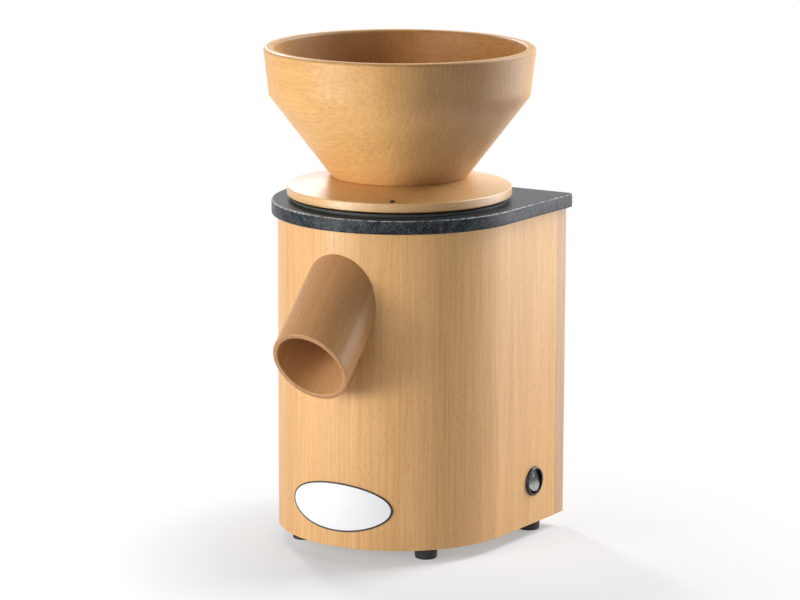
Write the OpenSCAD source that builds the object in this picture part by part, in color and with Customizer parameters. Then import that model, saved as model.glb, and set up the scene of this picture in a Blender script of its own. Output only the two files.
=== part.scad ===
// Electric grain mill.
// A bent beech housing holds an induction motor with an upright shaft. Two flat stones
// sit in a cast chamber under the top plate. A turned hopper on a wooden dial screws down
// on them and sets the fineness, and the flour leaves through a slanted wooden spout.
// Millimetres, +Z up. The ground is Z = 0, the front faces -Y, and the origin is under
// the middle of the mill's outer box. Plan coordinates are measured from the milling axis.

/* [Housing] */
// Radius of the housing's round front
body_r = 107.4; // [100:0.2:120]
// Angle by which each side opens towards the back, in degrees
flare = 3.4; // [1:0.1:6]
// Distance from the milling axis to the housing's back face
body_back = 101; // [98:1:115]
// Height of the wooden housing
body_h = 280.4; // [270:0.2:320]
// Wall of the bent shell
shell_t = 10; // [8:0.5:12]
// Thickness of the back board
back_t = 15; // [12:0.5:18]
// Thickness of the base board
base_t = 10; // [8:0.5:14]
// Thickness of the top plate
plate_t = 12.4; // [10:0.2:18]
// Overhang of the top plate at the front and sides
plate_lip = 5.6; // [3:0.2:12]
// Overhang of the top plate at the back
plate_back = 3; // [1:0.5:10]
// Corner radius of the top plate at the back
plate_corner = 4; // [2:0.5:10]
// Width of one ventilation slot
vent_w = 4.5; // [3:0.5:6]
// Length of one ventilation slot
vent_l = 34; // [20:1:44]
// Ventilation slots in a row
vent_count = 9; // [5:1:11]

/* [Hopper] */
// Radius of the hopper's rim
rim_r = 119.5; // [110:0.5:135]
// Height of the upright band
band_h = 42.3; // [30:0.1:60]
// How much smaller the band's radius is at its foot
band_taper = 4.6; // [2:0.2:8]
// Height of the cone below the band
cone_h = 71.9; // [60:0.1:90]
// Radius of the neck
neck_r = 60.1; // [54:0.1:68]
// Wall of the band
rim_t = 9; // [7:0.5:12]
// Rounding of the rim
rim_round = 3; // [1:0.2:3.4]
// Inner radius where the cone turns into the flatter floor
floor_r = 50; // [40:1:54]
// Height of that turn above the neck
floor_rise = 14; // [12:0.5:20]
// Radius of the throat that feeds the stones
throat_r = 22; // [18:0.5:24]
// Height of the throat's upright wall above the neck
throat_h = 5; // [3:0.5:8]

/* [Dial] */
// Radius of the wooden dial disc
dial_r = 99.3; // [90:0.1:108]
// Height of the disc's edge
dial_edge_h = 8.5; // [6:0.1:14]
// Rise of the disc's sloping top
dial_rise = 8.4; // [6:0.1:14]
// Space between the disc and the top plate
dial_gap = 4.1; // [3.9:0.1:7]
// Rounding of the disc's edge
dial_round = 1.4; // [0.5:0.1:2.5]
// Diameter of the mark in the disc
mark_d = 5; // [3:0.5:7]
// Distance of the mark from the disc's edge
mark_inset = 5; // [4:0.5:10]
// Angle of the mark from the front, towards the right
mark_angle = 26.6; // [0:0.2:60]
// Outer radius of the scale ring on the plate
scale_r = 96; // [85:0.5:98]
// Width of the scale ring
scale_w = 26; // [15:0.5:27]
// Height of the scale ring
scale_h = 2.2; // [1.5:0.1:3]

/* [Spout] */
// Outer radius of the spout
spout_r = 35.6; // [30:0.1:37]
// Wall of the spout
spout_t = 4.6; // [3.5:0.1:6]
// Slope of the spout below the horizontal, in degrees
spout_slope = 43.7; // [40:0.1:50]
// Slope of the mouth's face away from upright, in degrees
mouth_slope = 30.3; // [15:0.1:45]
// Distance from the milling axis to the tip of the spout
spout_reach = 169.5; // [160:0.5:185]
// Distance from the top plate down to that tip
spout_drop = 80; // [76:0.5:100]

/* [Badge] */
// Width of the oval badge
badge_w = 100.2; // [60:0.2:120]
// Height of the oval badge
badge_h = 43.8; // [24:0.2:50]
// Height of its middle above the housing's lower edge
badge_z = 36; // [30:0.5:60]
// Thickness of the badge
badge_t = 0.9; // [0.5:0.1:2]
// Width of the badge's dark border
badge_line = 1.3; // [0.8:0.1:3]

/* [Switch] */
// Diameter of the switch's bezel
switch_d = 27; // [26.4:0.1:32]
// Distance from the start of the flat side to the switch
switch_along = 56.2; // [30:0.2:62]
// Height of the switch above the housing's lower edge
switch_z = 39; // [34:0.5:70]
// How far the bezel stands out
switch_lip = 2.5; // [1.5:0.1:4]
// Diameter of the rocker
rocker_d = 19.2; // [16:0.1:19.6]
// Swing of the rocker between its two positions, in degrees
rocker_swing = 16; // [10:1:18]

/* [Feet] */
// Diameter of a rubber foot
foot_d = 21; // [16:0.5:24]
// Height of a rubber foot
foot_h = 12; // [8:0.5:20]
// Distance of the front feet from the housing's round front
foot_front_in = 20.4; // [20:0.2:40]
// Angle of the front feet from the front, in degrees
foot_front_angle = 46.4; // [30:0.2:55]
// Distance of the rear feet from the housing's sides
foot_side_in = 17.8; // [17.6:0.2:40]
// Distance of the rear feet from the housing's back
foot_back_in = 29; // [28:1:50]

/* [Milling unit] */
// Radius of the stones
stone_r = 42.5; // [38:0.5:43.5]
// Height of one stone
stone_h = 16.4; // [12:0.2:18]
// Gap between the stones at the present setting
stone_gap = 0.4; // [0.3:0.05:1.2]
// Radius of the feed hole in the upper stone
eye_r = 13; // [10:0.5:16]
// Furrows in each stone's face
furrow_count = 12; // [6:1:16]
// Radius of the adjusting thread
thread_r = 46; // [44:0.5:47]
// Pitch of the adjusting thread
thread_pitch = 3; // [2:0.5:4]
// Thickness of the stone carrier
carrier_t = 6; // [4:0.5:8]
// Radius of the stone carrier
carrier_r = 54; // [53.6:0.1:54.2]
// Outer radius of the chamber
chamber_r = 60; // [59:0.2:61.5]
// Thickness of the chamber's floor
chamber_floor = 5; // [4:0.5:7]
// Radius of the chamber's flange
flange_r = 76; // [75:0.5:80]
// Radius of the guide pins
pin_r = 2.4; // [1.8:0.1:2.6]
// Turns of each carrier spring
spring_turns = 5; // [4:1:6]

/* [Motor] */
// Radius of the stator core
core_r = 62; // [60.5:0.5:64]
// Height of the stator core
core_h = 65; // [50:1:75]
// Radius of the rotor
rotor_r = 35; // [30:0.5:36]
// Radius of the motor shaft in its bearings
shaft_r = 8.5; // [7.5:0.5:8.5]
// Radius of the shaft's upper end, which drives the runner
nose_r = 7; // [6:0.5:7.4]
// Outer radius of the bearings
bearing_r = 20; // [19.5:0.1:21]
// Width of the bearings
bearing_w = 12; // [10:0.5:13]
// Slots in the stator
slot_count = 24; // [18:6:24]
// Radius of the cooling fan
fan_r = 50; // [40:1:54]
// Blades on the cooling fan
fan_blades = 9; // [5:2:11]
// Diameter of the run capacitor
capacitor_d = 40; // [30:1:41]
// Height of the run capacitor
capacitor_h = 88; // [60:1:95]

/* [Cord gland] */
// Bore for the cord
gland_bore_r = 3.6; // [3:0.1:4.5]
// Radius of the gland's thread
gland_r = 8; // [7:0.5:9]
// How far the gland stands out behind the housing
gland_out = 13; // [11:1:16]
// Sideways place of the gland
gland_x = 20; // [-25:1:30]
// Height of the gland above the housing's lower edge
gland_z = 32; // [26:1:50]

/* [Hidden] */
$fn = 96;
seat_gap = 0.05;        // between pieces that are fixed together
slip_gap = 0.3;         // between pieces that move on each other
thread_gap = 0.3;       // radial play of the adjusting thread

// Heights, from the ground up
z_body = foot_h;
z_floor = z_body + base_t;
z_plate = z_body + body_h;
z_plate_top = z_plate + plate_t;
z_dial = z_plate_top + dial_gap;
z_shoulder = z_dial + dial_edge_h;
z_neck = z_shoulder + dial_rise;
z_band = z_neck + cone_h;
z_rim = z_band + band_h;

// The mill's outer box reaches from the spout's tip to whatever stands out furthest at the back
back_reach = max(rim_r, body_back + gland_out, body_back + plate_back);
axis_y = (spout_reach - back_reach) / 2;

// Milling unit, from the plate down
ring_flange_t = 3;
flange_t = 5;
z_ring_flange = z_plate - ring_flange_t;
z_flange = z_plate - flange_t;
collar_below = 3;
collar_flange_t = 3;
washer_t = 1;
z_collar = z_ring_flange - collar_below;
z_carrier_top = z_collar - washer_t;
z_carrier = z_carrier_top - carrier_t;
z_upper_face = z_carrier - stone_h;
z_lower_face = z_upper_face - stone_gap;
z_lower_stone = z_lower_face - stone_h;
hub_t = 3;
paddle_clear = 0.4;
paddle_h = 2;
z_hub = z_lower_stone - hub_t;
z_chamber_floor = z_hub - paddle_h - paddle_clear;
z_chamber = z_chamber_floor - chamber_floor;
sweep_h = 17;
z_shelf = z_chamber_floor + sweep_h;
sweep_r = stone_r + 3.5;
carrier_bore = carrier_r + 0.6;
ring_r = thread_r + 8;
ring_flange_r = ring_r + 6;
collar_r = 62;
collar_screw_r = 54;
land_r = 26;
stone_bore_r = 12;
stone_screw_r = 33;
stone_screw_l = carrier_t + 8;
spigot_h = 4.2;
paddle_r = 30;
pin_depth = 8;
chamber_screw_r = 2.5;
pin_circle = (sweep_r + carrier_bore) / 2;
pin_angles = [90, 210, 330];
flange_screw_r = flange_r - 8;
flange_screw_angles = [30, 150, 210, 330];

// Motor, hanging under the chamber
bell_t = 4;
upper_bell_h = 31;
lower_bell_h = 42;
z_core_top = z_chamber - upper_bell_h;
z_core = z_core_top - core_h;
z_motor = z_core - lower_bell_h;
bolt_circle = core_r - 6;
bolt_r = 2;
lug_r = 5;
bolt_angles = [45, 135, 225, 315];
air_gap = 0.4;
slot_r1 = rotor_r + air_gap + 1.6;
slot_r2 = bolt_circle - 6.5;
slot_w = 4.4;
coil_in = rotor_r + 3.5;
coil_h = 13.5;
bolt_grip = 9;
z_upper_bearing = z_chamber - bell_t - 2 - bearing_w;
z_lower_bearing = z_motor + bell_t + 2;
ball_r = (bearing_r - shaft_r) * 0.29;
ball_circle = (bearing_r + shaft_r) / 2;
ball_count = 8;
race_gap = 0.04;
race_t = 2.6;
boss_r = bearing_r + 4;
fan_h = 14;
z_fan = z_motor - 4 - fan_h;
z_shaft = z_fan - 4;
z_nose = z_chamber - bell_t;
z_shaft_top = z_lower_stone + 4;

// Hopper and dial
guard_r = throat_r + 3;
guard_t = 3;
z_mark = z_dial + 4;
collar_screw_l = 12;

// Spout: its tip is the highest point of the slanted mouth
mouth_turn = spout_slope - mouth_slope;
tip_back = spout_r * (sin(spout_slope) - tan(mouth_turn) * cos(spout_slope));
tip_up = spout_r * (cos(spout_slope) + tan(mouth_turn) * sin(spout_slope));
mouth_y = -spout_reach + tip_back;
mouth_z = z_plate - spout_drop - tip_up;
spout_bore = spout_r - spout_t;
spout_end_y = -(body_r - shell_t - 9.4);
duct_r = spout_bore - 0.6;
duct_t = 3.4;
duct_end_y = spout_end_y - 12;
duct_back_y = -chamber_r - 3;

// Switch
switch_r = switch_d / 2;
barrel_r = switch_r - 1.5;
barrel_depth = 22;
recess_r = rocker_d / 2 + 1.2;
recess_depth = 11;
terminal_l = 9;
lead_r = 1.3;
pivot_depth = 4;
pivot_r = 1.5;

// Capacitor, terminal block and the blocks that join the base to the shell, in plan
clamp_t = 2;
capacitor_place = (core_r + capacitor_d / 2 + clamp_t + 2.3) * [cos(136), sin(136)];
clamp_h = 18;
clamp_ear = 10;
terminal_place = [52, body_back - back_t - 24];
terminal_size = [34, 16, 20];
block_size = [14, 14, 20];
block_screw_l = base_t + 12;
block_side_y = -6;
block_side_x = side_x(-shell_t - 6.2, block_side_y);
block_places = [
    [-block_side_x, block_side_y], [block_side_x, block_side_y],
    [0, body_back - back_t - 8], [0, shell_t + 8.4 - body_r]
];

// Screws: radius of the shank and of the head
wood_screw = [1.9, 3.8];
back_screw_edge = 18;
back_screw_count = 4;
back_screw_l = 30;
foot_recess_r = 5;
foot_rear_y = body_back - foot_back_in;
gland_inside = 7;
vent_rows = [50, 108];
vent_step = 2.4;

// ---- Helpers ----

// Distance from the middle to a side wall, "grow" outside the housing's own, at depth y
function side_x(grow, y) = (body_r + grow + y * sin(flare)) / cos(flare);

// Points on an arc of radius r about c, from angle a to angle b
function arc(c, r, a, b, steps = 8) =
    [for (i = [0 : steps]) c + r * [cos(a + (b - a) * i / steps), sin(a + (b - a) * i / steps)]];

// The same points on the other side, in the opposite order
function mirrored(pts) = [for (i = [len(pts) - 1 : -1 : 0]) [-pts[i].x, pts[i].y]];

// Outline of an oval
function oval(w, h, steps = 72) =
    [for (i = [0 : steps - 1]) [w / 2 * cos(360 * i / steps), h / 2 * sin(360 * i / steps)]];

function unit(v) = v / norm(v);

// Tangent of a path at point i
function path_dir(path, i) = unit(path[min(i + 1, len(path) - 1)] - path[max(i - 1, 0)]);

// One ring of "sides" points about point i of a path
function path_ring(path, i, r, sides) =
    let (t = path_dir(path, i), u = unit(cross(t, [0.31, 0.17, 0.94])), v = cross(t, u))
    [for (k = [0 : sides - 1]) path[i] + r * (cos(360 * k / sides) * u + sin(360 * k / sides) * v)];

// A point of the smooth curve through p[i] and p[i + 1], t from 0 to 1
function curve_point(p, i, t) =
    let (a = p[max(i - 1, 0)], b = p[i], c = p[i + 1], d = p[min(i + 2, len(p) - 1)])
    0.5 * (2 * b + (c - a) * t + (2 * a - 5 * b + 4 * c - d) * t * t + (3 * b - a - 3 * c + d) * t * t * t);

function smooth_path(p, steps = 4) = concat(
    [for (i = [0 : len(p) - 2], s = [0 : steps - 1]) curve_point(p, i, s / steps)], [p[len(p) - 1]]);

// A solid tube along a path
module sweep(path, r, sides = 8) {
    rings = len(path);
    last = (rings - 1) * sides;
    polyhedron(
        points = [for (i = [0 : rings - 1]) each path_ring(path, i, r, sides)],
        faces = concat(
            [[for (k = [0 : sides - 1]) k]],
            [[for (k = [sides - 1 : -1 : 0]) last + k]],
            [for (i = [0 : rings - 2], k = [0 : sides - 1])
                let (n = (k + 1) % sides, a = i * sides, b = a + sides)
                each [[a + n, a + k, b + k], [a + n, b + k, b + n]]]
        )
    );
}

module on_axis(z = 0) translate([0, axis_y, z]) children();

module polar(r, angle) rotate(angle) translate([r, 0, 0]) children();

module ring(r_out, r_in, h) difference() {
    cylinder(r = r_out, h = h);
    translate([0, 0, -1]) cylinder(r = r_in, h = h + 2);
}

// Plan of the housing, "grow" outside its own walls: round front, flared sides, flat back
module plan(grow, back, corner = 0) {
    r = body_r + grow;
    side = concat([[r * cos(flare), -r * sin(flare)]], corner == 0
        ? [[side_x(grow, back), back]]
        : arc([side_x(grow - corner, back - corner), back - corner], corner, -flare, 90));
    intersection() {
        circle(r = r, $fn = 180);
        translate([-r, -r]) square([2 * r, r]);
    }
    polygon(concat(side, mirrored(side)));
}

// The right side's own frame: origin on the wall, +X outwards, +Y towards the back
module on_side(along, z) on_axis(z) rotate(-flare) translate([body_r, along, 0]) children();

// The switch's own frame: +Z outwards, +X down
module on_switch() on_side(switch_along, z_body + switch_z) rotate([0, 90, 0]) children();

// The gland's own frame: +Z outwards behind the housing
module on_gland() on_axis() translate([gland_x, body_back, z_body + gland_z]) rotate([-90, 0, 0]) children();

// A cylinder along the spout's axis, from the mouth's middle inwards
module along_spout(r, from, to) on_axis() translate([0, mouth_y, mouth_z])
    rotate([spout_slope - 90, 0, 0]) translate([0, 0, from]) cylinder(r = r, h = to - from);

// Everything in front of the plane y and, above the height z, everything behind it too
module before_or_above(y, z, top) on_axis() {
    translate([-spout_r, -2 * body_r, 0]) cube([2 * spout_r, 2 * body_r + y, top]);
    translate([-spout_r, y - 1, z]) cube([2 * spout_r, -y, top - z]);
}

// A countersunk wood screw, head at the origin, pointing down -Z
module wood_screw(length) {
    rotate_extrude() polygon([
        [0, 0], [wood_screw[1], 0], [wood_screw[0], wood_screw[0] - wood_screw[1]],
        [wood_screw[0], 2 - length], [0, -length]
    ]);
}

module wood_screw_hole(length) {
    translate([0, 0, wood_screw[0] - wood_screw[1] - seat_gap])
        cylinder(r1 = wood_screw[0] + seat_gap, r2 = wood_screw[1] + 2 * seat_gap,
            h = wood_screw[1] - wood_screw[0] + seat_gap);
    translate([0, 0, -length - 0.5]) cylinder(r = wood_screw[0] + seat_gap, h = length + 0.5);
}

// A cap-head screw, head down from the origin, shank up
module cap_screw(r, length) {
    translate([0, 0, -2 * r]) difference() {
        cylinder(r = 1.8 * r, h = 2 * r);
        translate([0, 0, -1]) cylinder(r = r, h = r + 1, $fn = 6);
    }
    cylinder(r = r, h = length);
}

// Slot with round ends, through "depth" along Y
module vent_slot(depth) {
    straight = vent_l - vent_w;
    translate([-vent_w / 2, -1, -straight / 2]) cube([vent_w, depth + 2, straight]);
    for (s = [-1, 1]) translate([0, -1, s * straight / 2]) rotate([-90, 0, 0])
        cylinder(r = vent_w / 2, h = depth + 2, $fn = 24);
}

module vent_row(depth) for (i = [0 : vent_count - 1])
    translate([(i - (vent_count - 1) / 2) * vent_step * vent_w, 0, 0]) vent_slot(depth);

// ---- Housing ----

module back_screw_places() {
    step = (body_h - 2 * back_screw_edge) / (back_screw_count - 1);
    for (s = [-1, 1], i = [0 : back_screw_count - 1]) on_axis(z_body + back_screw_edge + i * step)
        translate([s * side_x(-shell_t / 2, body_back), body_back, 0]) rotate([-90, 0, 0]) children();
}

module housing_shell() color("burlywood") difference() {
    on_axis(z_body) linear_extrude(body_h) plan(0, body_back - back_t);
    on_axis(z_body - 1) linear_extrude(body_h + 2) plan(-shell_t, body_back);
    along_spout(spout_r + seat_gap, 0, spout_reach);
    on_switch() translate([0, 0, -shell_t - 2]) cylinder(r = barrel_r + seat_gap, h = shell_t + 4);
    back_screw_places() wood_screw_hole(back_screw_l);
}

module back_panel() color("tan") difference() {
    front = body_back - back_t + seat_gap;
    on_axis(z_body) linear_extrude(body_h) polygon([
        [side_x(0, front), front], [side_x(0, body_back), body_back],
        [-side_x(0, body_back), body_back], [-side_x(0, front), front]
    ]);
    for (z = vent_rows) on_axis(z_plate - z) translate([0, front, 0]) vent_row(back_t);
    on_gland() translate([0, 0, -back_t - 1]) cylinder(r = gland_r + seat_gap, h = back_t + 2);
    back_screw_places() wood_screw_hole(back_screw_l);
}

module block_screw_places() for (p = block_places)
    on_axis(z_body) translate([p.x, p.y, 0]) rotate([180, 0, 0]) children();

module base_plate() color("peru") difference() {
    on_axis(z_body) linear_extrude(base_t)
        plan(-shell_t - seat_gap, body_back - back_t - seat_gap);
    for (row = [-1 : 1]) on_axis(z_body) translate([0, row * (vent_l + 2 * vent_w), 0])
        rotate([90, 0, 0]) vent_row(base_t);
    block_screw_places() wood_screw_hole(block_screw_l);
    foot_places() translate([0, 0, foot_h - 1]) cylinder(r = wood_screw[0] + seat_gap, h = base_t);
}

module base_blocks() color("wheat") difference() {
    for (p = block_places) intersection() {
        on_axis(z_floor) linear_extrude(block_size.z)
            plan(-shell_t - seat_gap, body_back - back_t - seat_gap);
        on_axis(z_floor) translate([p.x - block_size.x / 2, p.y - block_size.y / 2, 0]) cube(block_size);
    }
    block_screw_places() wood_screw_hole(block_screw_l);
}

module flange_screw_places() for (a = flange_screw_angles)
    on_axis(z_flange) polar(flange_screw_r, a) children();

module top_plate() color("darkslategray") difference() {
    on_axis(z_plate) linear_extrude(plate_t) plan(plate_lip, body_back + plate_back, plate_corner);
    on_axis(z_plate - 1) cylinder(r = ring_r + seat_gap, h = plate_t + 2);
    flange_screw_places() cylinder(r = chamber_screw_r + seat_gap, h = flange_t + plate_t - 2.5);
}

module scale_ring() color("gray") difference() {
    on_axis(z_plate_top) ring(scale_r, scale_r - scale_w, scale_h);
    for (i = [0 : 35]) on_axis(z_plate_top + scale_h - 0.5) polar(scale_r - 4, i * 10)
        translate([0, -0.4, 0]) cube([5, 0.8, 1]);
}

module spout_tube() color("sienna") difference() {
    along_spout(spout_r, -2 * spout_r, spout_reach);
    along_spout(spout_bore, -3 * spout_r, spout_reach + 1);
    on_axis() translate([0, mouth_y, mouth_z]) rotate([90 + mouth_slope, 0, 0])
        translate([-2 * spout_r, -3 * spout_r, 0]) cube([4 * spout_r, 6 * spout_r, 4 * spout_r]);
    on_axis() translate([-2 * spout_r, spout_end_y, 0]) cube([4 * spout_r, 2 * spout_reach, 2 * z_plate]);
}

// A skin on the housing's round front, from "low" to "high" above the wood
module front_skin(low, high, w, h) intersection() {
    on_axis(z_body + badge_z - h) difference() {
        cylinder(r = body_r + high, h = 2 * h, $fn = 180);
        translate([0, 0, -1]) cylinder(r = body_r + low, h = 2 * h + 2, $fn = 180);
    }
    on_axis(z_body + badge_z) rotate([90, 0, 0]) linear_extrude(body_r + high + 1) polygon(oval(w, h));
}

module badge_plate() color("white")
    front_skin(0, badge_t, badge_w - 2 * badge_line - 2 * seat_gap, badge_h - 2 * badge_line - 2 * seat_gap);

module badge_border() color("black") difference() {
    front_skin(0, badge_t * 1.2, badge_w, badge_h);
    on_axis(z_body + badge_z) rotate([90, 0, 0]) linear_extrude(2 * body_r)
        polygon(oval(badge_w - 2 * badge_line, badge_h - 2 * badge_line));
}

// ---- Feet and screws below ----

module front_foot(s) on_axis() rotate(s * foot_front_angle) translate([0, foot_front_in - body_r, 0])
    children();

module rear_foot(s) on_axis()
    translate([s * side_x(-foot_side_in, foot_rear_y), foot_rear_y, 0]) children();

module foot_places() for (s = [-1, 1]) {
    front_foot(s) children();
    rear_foot(s) children();
}

module rubber_foot() color("black") {
    r = foot_d / 2;
    head = foot_h / 2;
    rotate_extrude() polygon(concat(
        [[foot_recess_r, 0]], arc([r - 2.2, 1.4], 1.4, -90, 0, 5),
        [[r, foot_h], [wood_screw[0] + 0.3, foot_h], [wood_screw[0] + 0.3, head], [foot_recess_r, head]]
    ));
}

module foot_front_left() front_foot(-1) rubber_foot();

module foot_front_right() front_foot(1) rubber_foot();

module foot_rear_left() rear_foot(-1) rubber_foot();

module foot_rear_right() rear_foot(1) rubber_foot();

module foot_screws() color("silver") foot_places() translate([0, 0, foot_h / 2]) {
    translate([0, 0, -2.4]) cylinder(r = wood_screw[1], h = 2.4);
    cylinder(r = wood_screw[0], h = foot_h / 2 + base_t - 2);
}

module base_screws() color("silver") block_screw_places() wood_screw(block_screw_l);

module back_screws() color("silver") back_screw_places() wood_screw(back_screw_l);

// ---- Milling chamber ----

module pin_places() for (a = pin_angles) on_axis(z_shelf) polar(pin_circle, a) children();

// The flour's way from the stones to the spout
module flour_way() intersection() {
    along_spout(duct_r - duct_t, 0, 2 * spout_reach);
    before_or_above(duct_back_y - duct_t, z_chamber_floor, z_flange - duct_t);
    on_axis() translate([-spout_r, duct_end_y - 1, 0])
        cube([2 * spout_r, -duct_end_y - sweep_r / 2, 2 * z_plate]);
}

// The duct stands against the chamber, under its flange, and its front end plugs into the spout
module flour_duct() color("gainsboro") difference() {
    intersection() {
        along_spout(duct_r, 0, 2 * spout_reach);
        before_or_above(duct_back_y, z_chamber, z_flange - seat_gap);
        on_axis() translate([-spout_r, duct_end_y, 0]) cube([2 * spout_r, -duct_end_y, 2 * z_plate]);
    }
    flour_way();
    on_axis(z_chamber - 1) cylinder(r = chamber_r + seat_gap, h = z_plate - z_chamber);
}

module milling_chamber() color("gainsboro") difference() {
    union() {
        on_axis(z_chamber) cylinder(r = chamber_r, h = z_plate - z_chamber - 1);
        on_axis(z_flange) cylinder(r = flange_r, h = flange_t);
    }
    flour_way();
    on_axis(z_chamber_floor) cylinder(r = sweep_r, h = z_plate - z_chamber_floor);
    on_axis(z_shelf) cylinder(r = carrier_bore, h = z_plate);
    on_axis(z_ring_flange) cylinder(r = ring_flange_r + seat_gap, h = flange_t);
    on_axis(z_chamber - 1) cylinder(r = nose_r + 1.5, h = chamber_floor + 2);
    on_axis(z_chamber - 1) cylinder(r = nose_r + 5 + seat_gap, h = 4);
    pin_places() translate([0, 0, -pin_depth]) cylinder(r = pin_r + seat_gap, h = pin_depth + 1);
    flange_screw_places() translate([0, 0, -1]) cylinder(r = chamber_screw_r + seat_gap, h = flange_t + 2);
    bolt_places(z_chamber - 1) cylinder(r = bolt_r + seat_gap, h = bolt_grip + 2.5);
}

module thread_ring() color("goldenrod") difference() {
    on_axis(z_ring_flange) {
        cylinder(r = ring_r, h = z_plate_top - z_ring_flange - 0.4);
        cylinder(r = ring_flange_r, h = ring_flange_t);
    }
    on_axis(z_ring_flange - 1) cylinder(r = thread_r + thread_gap, h = plate_t + ring_flange_t + 2);
    for (z = [thread_pitch : thread_pitch : plate_t]) on_axis(z_ring_flange + z) rotate_extrude()
        polygon([[thread_r, -0.8], [thread_r + thread_gap + 0.9, 0], [thread_r, 0.8]]);
}

module guide_pins() color("silver") pin_places() translate([0, 0, -pin_depth])
    cylinder(r = pin_r, h = pin_depth + z_carrier_top - z_shelf + 2.6);

module carrier_springs() color("silver") {
    wire = 0.6;
    free = z_carrier - z_shelf - 2 * wire - 2 * seat_gap;
    steps = spring_turns * 10;
    path = [for (i = [0 : steps]) [
        (pin_r + 1.1) * cos(36 * i), (pin_r + 1.1) * sin(36 * i), wire + seat_gap + free * i / steps
    ]];
    pin_places() sweep(path, wire, 6);
}

module chamber_seal() color("ivory") on_axis(z_chamber) ring(nose_r + 5, nose_r + slip_gap, 2.9);

module chamber_screws() color("silver") flange_screw_places()
    cap_screw(chamber_screw_r, flange_t + plate_t - 3);

// ---- Stones and carrier ----

module furrows(z) for (i = [0 : furrow_count - 1]) on_axis(z) polar(land_r - 4, i * 360 / furrow_count)
    rotate(28) translate([0, -1.2, -1]) cube([stone_r, 2.4, 2]);

module stone_screw_places() for (a = [0, 120, 240]) on_axis(z_carrier_top) polar(stone_screw_r, a) children();

module stone_carrier() color("lightgray") difference() {
    on_axis(z_carrier) ring(carrier_r, eye_r + 2, carrier_t);
    pin_places() cylinder(r = pin_r + slip_gap, h = z_plate - z_shelf);
    stone_screw_places() wood_screw_hole(stone_screw_l);
}

module upper_stone() color("linen") difference() {
    on_axis() rotate_extrude() polygon([
        [eye_r, z_carrier], [stone_r, z_carrier], [stone_r, z_upper_face],
        [land_r, z_upper_face], [eye_r, z_upper_face + stone_h / 2]
    ]);
    furrows(z_upper_face);
    stone_screw_places() wood_screw_hole(stone_screw_l);
}

module stone_screws() color("silver") stone_screw_places() wood_screw(stone_screw_l);

module thrust_washer() color("khaki") on_axis(z_carrier_top) ring(thread_r - 2, throat_r + 3, washer_t);

module lower_stone() color("linen") difference() {
    on_axis() rotate_extrude() polygon([
        [stone_bore_r, z_lower_stone], [stone_r, z_lower_stone], [stone_r, z_lower_face],
        [land_r, z_lower_face], [land_r - 10, z_lower_face - 3], [stone_bore_r, z_lower_face - 3]
    ]);
    furrows(z_lower_face);
}

module runner_hub() color("lightgray") difference() {
    union() {
        on_axis(z_hub) cylinder(r = stone_r - 0.5, h = hub_t);
        on_axis(z_hub) cylinder(r = stone_bore_r - seat_gap, h = hub_t + spigot_h);
        for (a = [0 : 90 : 270]) on_axis(z_hub - paddle_h) polar(paddle_r, a) {
            translate([0, -2, 0]) cube([stone_r + 2.6 - paddle_r, 4, paddle_h + 1]);
            translate([stone_r + 0.7 - paddle_r, -2, 0]) cube([1.9, 4, paddle_h + 12]);
        }
    }
    on_axis(z_hub - 5) cylinder(r = nose_r + 0.02, h = 20);
}

module hub_screw() color("silver") on_axis(z_hub + hub_t + spigot_h) {
    cylinder(r = 10.5, h = 1.5);
    translate([0, 0, 1.5]) cylinder(r = 5, h = 4, $fn = 6);
    translate([0, 0, -16]) cylinder(r = 3, h = 17);
}

// ---- Hopper and dial ----

module hopper_bowl() color("tan") on_axis() rotate_extrude($fn = 180) {
    band_r = rim_r - band_taper;
    inner = rim_r - rim_t;
    polygon(concat(
        [[throat_r, z_neck], [neck_r, z_neck], [band_r, z_band]],
        arc([rim_r - rim_round, z_rim - rim_round], rim_round, 0, 90),
        arc([inner + rim_round, z_rim - rim_round], rim_round, 90, 180),
        [[band_r - rim_t, z_band + 3], [floor_r, z_neck + floor_rise], [throat_r, z_neck + throat_h]]
    ));
}

module dial_solid(lift) rotate_extrude($fn = 180) polygon(concat(
    [[throat_r, z_dial]],
    arc([dial_r - dial_round, z_dial + dial_round], dial_round, -90, 0, 5),
    arc([dial_r - dial_round, z_shoulder + lift - dial_round], dial_round, 0, 80, 5),
    [[neck_r, z_neck + lift], [guard_r + seat_gap, z_neck + lift],
        [guard_r + seat_gap, z_neck - guard_t], [throat_r, z_neck - guard_t]]
));

module on_mark() on_axis() rotate(mark_angle) translate([0, mark_inset - dial_r, 0]) children();

module dial_disc() color("tan") difference() {
    on_axis() dial_solid(0);
    on_mark() translate([0, 0, z_mark]) cylinder(r = mark_d / 2 + seat_gap, h = 20);
    collar_screw_places() rotate([180, 0, 0]) wood_screw_hole(collar_screw_l);
}

module dial_mark() color("saddlebrown") intersection() {
    on_axis() dial_solid(0.2);
    on_mark() translate([0, 0, z_mark + seat_gap]) cylinder(r = mark_d / 2, h = 20);
}

module collar_screw_places() for (a = [45 : 90 : 315])
    on_axis(z_dial - collar_flange_t) polar(collar_screw_r, a) children();

module threaded_collar() color("dimgray") difference() {
    union() {
        on_axis(z_dial - collar_flange_t) ring(collar_r, throat_r, collar_flange_t - seat_gap);
        on_axis(z_collar) ring(thread_r, throat_r, z_dial - z_collar - 1);
    }
    for (z = [thread_pitch : thread_pitch : plate_t]) on_axis(z_ring_flange + z) rotate_extrude()
        polygon([[thread_r + 1, -0.8], [thread_r - 0.9, 0], [thread_r + 1, 0.8]]);
    collar_screw_places() rotate([180, 0, 0]) wood_screw_hole(collar_screw_l);
}

module collar_screws() color("silver") collar_screw_places() rotate([180, 0, 0])
    wood_screw(collar_screw_l);

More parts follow.
